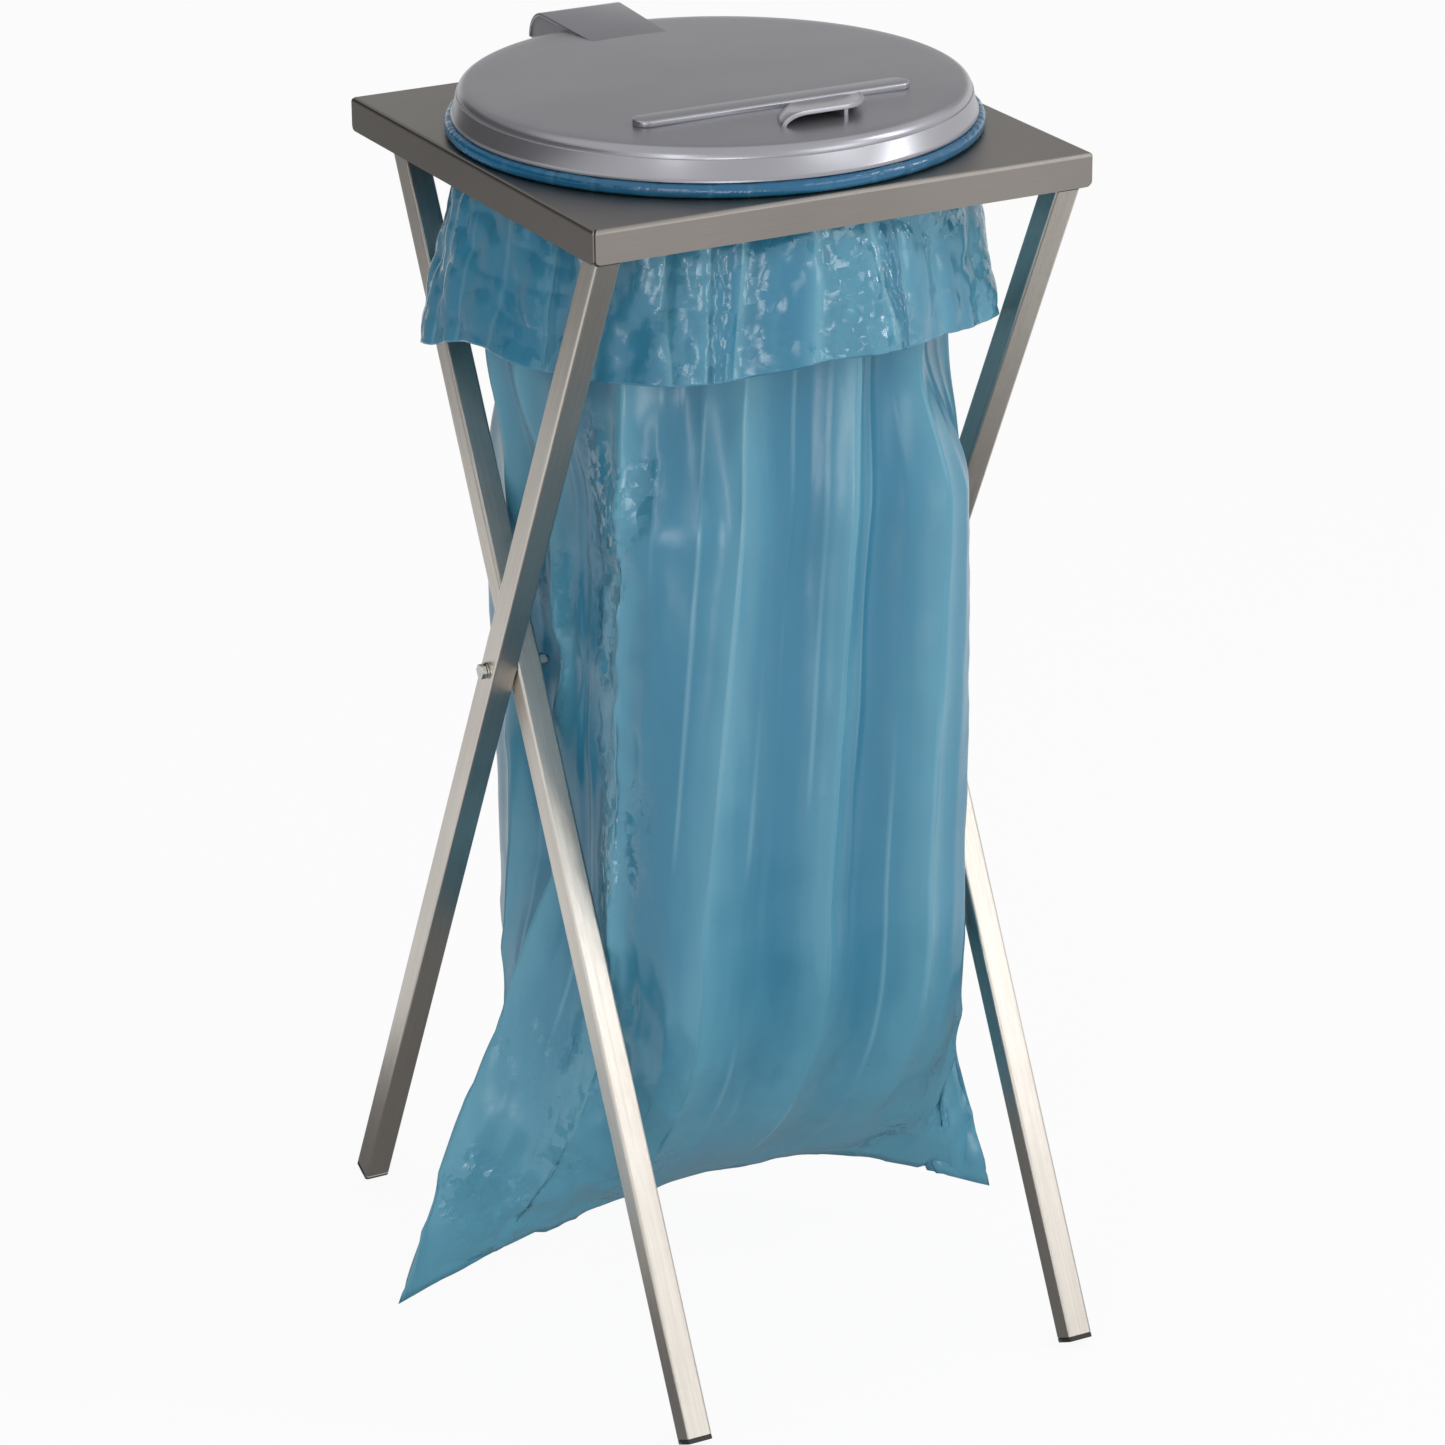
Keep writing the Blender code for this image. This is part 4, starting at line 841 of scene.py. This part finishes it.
def cuff_points(angle, share, start):
    """The folded-over cuff's points, at a share of the way down to its open edge."""
    turn = np.radians(angle)
    tip = bell(angle, CUFF_TIP_ANGLE, CUFF_TIP_WIDTH)
    length = CUFF_LENGTH - CUFF_WAVE_HEIGHT * np.cos(CUFF_WAVES * (turn + CUFF_WAVE_START))
    height = start[1] - (length + CUFF_TIP_DROP * tip) * share
    flute = CUFF_FLUTE_DEPTH * (0.5 - 0.5 * np.cos(CUFF_FLUTES * turn)) * (1 - tip)
    radius = mix(start[0], CUFF_RADIUS + CUFF_TIP_REACH * tip - flute, share)
    x = radius * np.cos(turn)
    y = radius * np.sin(turn)
    return mix(x, behind_leg(x, y, height), smooth(share * 2)), y, height


def displaced(places, amounts):
    """Grid points moved outwards along the surface's own direction by the amounts."""
    around = np.roll(places, -1, axis=1) - np.roll(places, 1, axis=1)
    up = np.gradient(places, axis=0)
    out = np.cross(around, up)
    out /= np.maximum(np.linalg.norm(out, axis=2, keepdims=True), 1e-12)
    return places + out * amounts[:, :, None]


def film_tube(name, places, stored, material):
    """A grid of points joined side to side into a tube of thin film, with its stored numbers."""
    rows, columns = places.shape[0] - 1, places.shape[1]
    clear_selection()
    bpy.ops.mesh.primitive_grid_add(x_subdivisions=columns, y_subdivisions=rows, size=1)
    piece = bpy.context.object
    flat = grid_places(piece)
    column = np.rint((flat[:, 0] + 0.5) * columns).astype(int) % columns
    row = np.rint((flat[:, 1] + 0.5) * rows).astype(int)
    move_points(piece, places[row, column])
    for label, values in stored.items():
        attribute = piece.data.attributes.new(label, "FLOAT", "POINT")
        attribute.data.foreach_set("value", values[row, column].astype(np.float32))
    bpy.ops.object.mode_set(mode="EDIT")
    bpy.ops.mesh.select_all(action="SELECT")
    bpy.ops.mesh.remove_doubles(threshold=0.000002)
    bpy.ops.mesh.normals_make_consistent(inside=False)
    bpy.ops.object.mode_set(mode="OBJECT")
    apply(piece, "SOLIDIFY", thickness=FILM, offset=0)
    name_and_paint(piece, name, material)
    bpy.ops.object.shade_smooth()
    return piece


def bag_body():
    """The film from the ring's inner edge down to the bottom seam."""
    column = np.arange(BODY_COLUMNS)
    places = np.empty((BODY_ROWS + 1, BODY_COLUMNS, 3))
    depth = np.empty((BODY_ROWS + 1, BODY_COLUMNS))
    crease = np.empty((BODY_ROWS + 1, BODY_COLUMNS))
    top = RING_HIGH.z - RING_EDGE
    for row in range(BODY_ROWS + 1):
        if row < LOWER_ROWS:
            x, y, z, depth[row] = lower_points(column, 1 - row / LOWER_ROWS)
        else:
            z = mix(BAG_SPREAD_HEIGHT, top, (row - LOWER_ROWS) / (BODY_ROWS - LOWER_ROWS))
            x, y, depth[row] = body_points(column, z)
        places[row] = np.stack([x + STAND_X, y, z + 0 * x], axis=1)
        crease[row] = (SMALL_DEPTH < 0.01) * small_strength(z)
    # Painted highlight along the small creases, shown in patches
    crease = crease ** 3 * 0.5 * patches(places, 0.09, 2.2, 9, 0.4)
    height = places[:, :, 2]
    moving = rise(height, RING_LOW.z - 0.01, RING_LOW.z - 0.04) * rise(height, 0.03, 0.05)
    rough = relief(crumples, places, BODY_CRUMPLES) - BODY_CRUMPLE_MIDDLE
    amounts = relief(waves, places, BODY_WAVES) + rough * crumple_share(places)
    amounts = np.clip(amounts, -inward_room(places), BAG_OUTWARD_LIMIT)
    places = displaced(places, amounts * moving)
    crumpled = smooth(crumple_share(places) * 1.3 - 0.35) * patches(places, 0.05, 1.6, 11, 0.2)
    # Painted shade by the depth of the folds, and painted highlight along the small creases
    stored = {"painted_shade": np.clip(depth, 0, 1), "crease": crease * moving, "layers": 0 * crease,
              "crumple": crumpled}
    return film_tube("bag_body", places, stored, blue_film("body_film", 0.32, 0.14, 0.24))


def inward_room(places):
    """How far the film may go inwards, so that front and back stay apart where the bag is flat."""
    y = places[:, :, 1]
    flat = smooth((BAG_SPREAD_HEIGHT - places[:, :, 2]) / BAG_FLAT_LENGTH)
    return BAG_LAYER_ROOM * np.abs(y - y.mean(axis=1, keepdims=True)) + BAG_FREE_ROOM * (1 - flat)


def crumple_share(places):
    """How crumpled the body is, most in the bottom corners, by the bolts and down the front left edge.

    The numbers are metres from the stand's middle and above the floor, and then a zone's strength.
    """
    x = places[:, :, 0] - STAND_X
    y = places[:, :, 1]
    z = places[:, :, 2]
    left_corner = rise(z, 0.40, 0.12) * rise(x, -0.03, -0.15) * 0.8
    right_corner = rise(z, 0.28, 0.13) * rise(x, 0.08, 0.14)
    hem = rise(z, 0.15, 0.07) * 0.25
    edge = band(y, -0.10, 0.07, 0.07) * rise(x, -0.10, -0.13) * rise(z, 0.82, 0.72)
    bolts = band(z, CROSS_HEIGHT + 0.02, 0.2, 0.2) * rise(np.abs(x), 0.115, 0.145) * 0.6
    return LEAST_CRUMPLED + np.maximum.reduce([left_corner, right_corner, hem, bolts, edge])


def bag_cuff():
    """The film over the ring, under it, through the hole and down to the open edge."""
    path = evenly(film_over_ring(), RING_ROWS)
    shape = (CUFF_ROWS + 1, CUFF_COLUMNS)
    places = np.empty((*shape, 3))
    depth = np.empty(shape)
    crease = np.empty(shape)
    for row in range(CUFF_ROWS + 1):
        share = max((row - RING_ROWS + 1) / (CUFF_ROWS - RING_ROWS + 1), 0)
        angle, depth[row], crease[row] = cuff_place(share)
        if row < RING_ROWS:
            radius, z = path[row]
            turn = np.radians(angle)
            x, y = radius * np.cos(turn), radius * np.sin(turn)
        else:
            x, y, z = cuff_points(angle, share, path[-1])
        places[row] = np.stack([x + STAND_X, y, z + 0 * x], axis=1)
    x, y, height = np.moveaxis(places, 2, 0)
    x = x - STAND_X
    around = np.degrees(np.arctan2(y, x)) % 360
    hanging = rise(height, TRAY_LOW.z + CUFF_HANG_TOP, TRAY_LOW.z + CUFF_HANG_LOW)
    outside = np.hypot(x, y) > RING_INNER_RADIUS + RING_EDGE
    on_ring = rise(height, RING_LOW.z - 0.001, RING_LOW.z + 0.003) * outside
    uneven = 1 - 0.65 * bell(around, *CUFF_CALM)
    # Painted highlight along the cuff's creases, in patches, faint on the ring
    crease = crease * np.maximum(hanging * patches(places, 0.07, 1.8, 10, 0.4) * uneven, on_ring * 0.2)
    rough = relief(crumples, places, CUFF_CRUMPLES) - CUFF_CRUMPLE_MIDDLE
    pleats = np.clip(depth, 0, 1) * RING_PLEAT_DEPTH
    places = displaced(places, (rough - depth * CUFF_CREST_DEPTH * uneven) * hanging - pleats * on_ring)
    crinkled = np.clip(sum(band(around, *place) for place in CUFF_CRINKLED), 0.2, 1)
    # Painted shade in the hollows between creases and on the cuff's left side, painted highlight along the
    # creases
    stored = {"painted_shade": np.clip(depth + 0.8 * bell(around, *CUFF_PAINTED_SHADE), 0, 1), "crease": crease,
              "layers": on_ring, "crumple": patches(places, 0.045, 1.5, 12, 0.55) * hanging * crinkled}
    return film_tube("bag_cuff", places, stored, blue_film("cuff_film", 0.36, 0.4, 0.16))


# Scene

def dress_nodes():
    """Give each CAD node that the scene keeps its finish."""
    steel = bright_steel()
    black = black_plastic()
    finishes = {"tray": brushed_tray(), "bag_ring": grey_plastic(), "hinge_bracket": black,
                "hinge_pin": steel, "pin_clip": steel}
    tubes = {"outer": brushed_tube("outer_tube", LEG_LEAN), "inner": brushed_tube("inner_tube", -LEG_LEAN)}
    for side in ("left", "right"):
        for row, tube in tubes.items():
            finishes[f"{row}_leg_{side}"] = tube
            finishes[f"foot_cap_{row}_{side}"] = black
            finishes[f"top_connector_{row}_{side}"] = black
            finishes[f"connector_stud_{row}_{side}"] = steel
        for part in ("cross_bolt", "head_washer", "nut_washer", "cap_nut", "bracket_screw", "bracket_nut"):
            finishes[f"{part}_{side}"] = steel
    for node, material in finishes.items():
        paint(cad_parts[node], material)


def dress_bag():
    for piece in (bag_body(), bag_cuff()):
        lies(piece, "stand", "bag")


def camera():
    forward = Vector((math.sin(CAMERA_YAW) * math.cos(CAMERA_PITCH),
                      math.cos(CAMERA_YAW) * math.cos(CAMERA_PITCH), -math.sin(CAMERA_PITCH)))
    level = Vector((math.cos(CAMERA_YAW), -math.sin(CAMERA_YAW), 0))
    down = forward.cross(level)
    right = level * math.cos(CAMERA_ROLL) + down * math.sin(CAMERA_ROLL)
    lower = down * math.cos(CAMERA_ROLL) - level * math.sin(CAMERA_ROLL)
    data = bpy.data.cameras.new("camera")
    data.sensor_width = CAMERA_SENSOR
    data.lens = CAMERA_FOCAL_PIXELS / PHOTO_SIDE * CAMERA_SENSOR
    data.clip_end = 50
    item = bpy.data.objects.new("camera", data)
    bpy.context.scene.collection.objects.link(item)
    item.location = Vector(CAMERA_FROM_STAND) + Vector((STAND_X, 0, 0))
    item.rotation_euler = Matrix((right, -lower, -forward)).transposed().to_euler()
    bpy.context.scene.camera = item


def soft_box(name, place, aim, width, height, brightness):
    """A rectangular lamp, as bright on its face as a white surface times the brightness."""
    data = bpy.data.lights.new(name, "AREA")
    data.shape = "RECTANGLE"
    data.size = width
    data.size_y = height
    data.energy = brightness * width * height * math.pi
    item = bpy.data.objects.new(name, data)
    bpy.context.scene.collection.objects.link(item)
    item.location = place
    item.rotation_euler = (Vector(aim) - Vector(place)).to_track_quat("-Z", "Y").to_euler()


def seen_as_white(tree):
    """1 for what the camera, metal and glass see, and 0 for what lights the object."""
    path = tree.nodes.new("ShaderNodeLightPath")
    total = path.outputs["Is Camera Ray"]
    for ray in ("Is Glossy Ray", "Is Transmission Ray"):
        either = tree.nodes.new("ShaderNodeMath")
        either.operation = "MAXIMUM"
        tree.links.new(total, either.inputs[0])
        tree.links.new(path.outputs[ray], either.inputs[1])
        total = either.outputs[0]
    return total


def world_light():
    world = bpy.data.worlds.new("studio")
    bpy.context.scene.world = world
    world.use_nodes = True
    tree = world.node_tree
    lit = tree.nodes["Background"]
    lit.inputs["Color"].default_value = (1, 1, 1, 1)
    lit.inputs["Strength"].default_value = WORLD_LEVEL
    white = tree.nodes.new("ShaderNodeBackground")
    white.inputs["Color"].default_value = (1, 1, 1, 1)
    join = tree.nodes.new("ShaderNodeMixShader")
    tree.links.new(seen_as_white(tree), join.inputs[0])
    tree.links.new(lit.outputs[0], join.inputs[1])
    tree.links.new(white.outputs[0], join.inputs[2])
    tree.links.new(join.outputs[0], tree.nodes["World Output"].inputs["Surface"])


def floor():
    """White floor that keeps a faint shadow of the object."""
    clear_selection()
    bpy.ops.mesh.primitive_plane_add(size=24, location=(0, 0, 0))
    item = bpy.context.object
    item.name = "floor"
    finish = Finish("floor")
    finish.shade(base_color=(FLOOR_GREY, FLOOR_GREY, FLOOR_GREY, 1), roughness=0.7, specular_ior_level=0.0)
    tree = finish.tree
    white = tree.nodes.new("ShaderNodeEmission")
    amount = tree.nodes.new("ShaderNodeMath")
    amount.operation = "MULTIPLY"
    amount.inputs[1].default_value = FLOOR_WHITE
    join = tree.nodes.new("ShaderNodeMixShader")
    tree.links.new(seen_as_white(tree), amount.inputs[0])
    tree.links.new(amount.outputs[0], join.inputs[0])
    tree.links.new(finish.shader.outputs[0], join.inputs[1])
    tree.links.new(white.outputs[0], join.inputs[2])
    tree.links.new(join.outputs[0], tree.nodes["Material Output"].inputs["Surface"])
    item.data.materials.append(finish.material)


def reflection_card(name, corners, level):
    """A grey studio card that only shows in reflections."""
    clear_selection()
    bpy.ops.mesh.primitive_plane_add(size=1)
    item = bpy.context.object
    item.name = name
    move_points(item, np.array(corners))
    finish = Finish(name)
    finish.shade(base_color=(0, 0, 0, 1), roughness=1.0, specular_ior_level=0.0,
                 emission_color=(1, 1, 1, 1), emission_strength=level)
    item.data.materials.append(finish.material)
    item.visible_camera = False
    item.visible_diffuse = False
    item.visible_transmission = False
    item.visible_shadow = False


def upright(start, end, low, high):
    """Corners of an upright card over a line on the floor."""
    return [(*place, height) for height in (low, high) for place in (start, end)]


def level(start, end, height):
    """Corners of a card that lies level."""
    return [(x, y, height) for y in (start[1], end[1]) for x in (start[0], end[0])]


def light_scene():
    """Two soft boxes, a narrow strip at each side, and cards that darken what the metal reflects."""
    world_light()
    soft_box("front_box", (1.3, -2.6, 1.75), (0, 0, 0.5), 1.3, 1.3, 2.2)
    soft_box("camera_box", (-1.35, -3.1, 0.5), (0, 0, 0.8), 1.0, 0.85, 5.4)
    soft_box("left_strip", (-1.9, -1.9, 1.5), (0, 0, 0.6), 0.18, 1.6, 9)
    soft_box("right_strip", (2.2, -1.3, 2.3), (0, 0, 0.6), 0.28, 1.4, 14)
    reflection_card("ceiling_card", level((-6, 0.9), (6, 8), 2.3), 0.42)
    reflection_card("side_card", upright((-1.5, 0.0), (-0.2, 1.7), 0.30, 0.85), 0.34)
    reflection_card("high_side_card", upright((-1.7, -0.6), (-0.2, 1.7), 0.86, 1.5), 0.03)
    # Dark card under the stand: a painted shadow of the stand on the floor, seen only in reflections
    reflection_card("floor_shadow_card", level((-0.3, -0.8), (0.7, 0.5), 0.003), 0.20)


camera()
light_scene()
floor()
dress_nodes()
dress_lid()
dress_bag()

bpy.context.scene.view_settings.view_transform = "Standard"
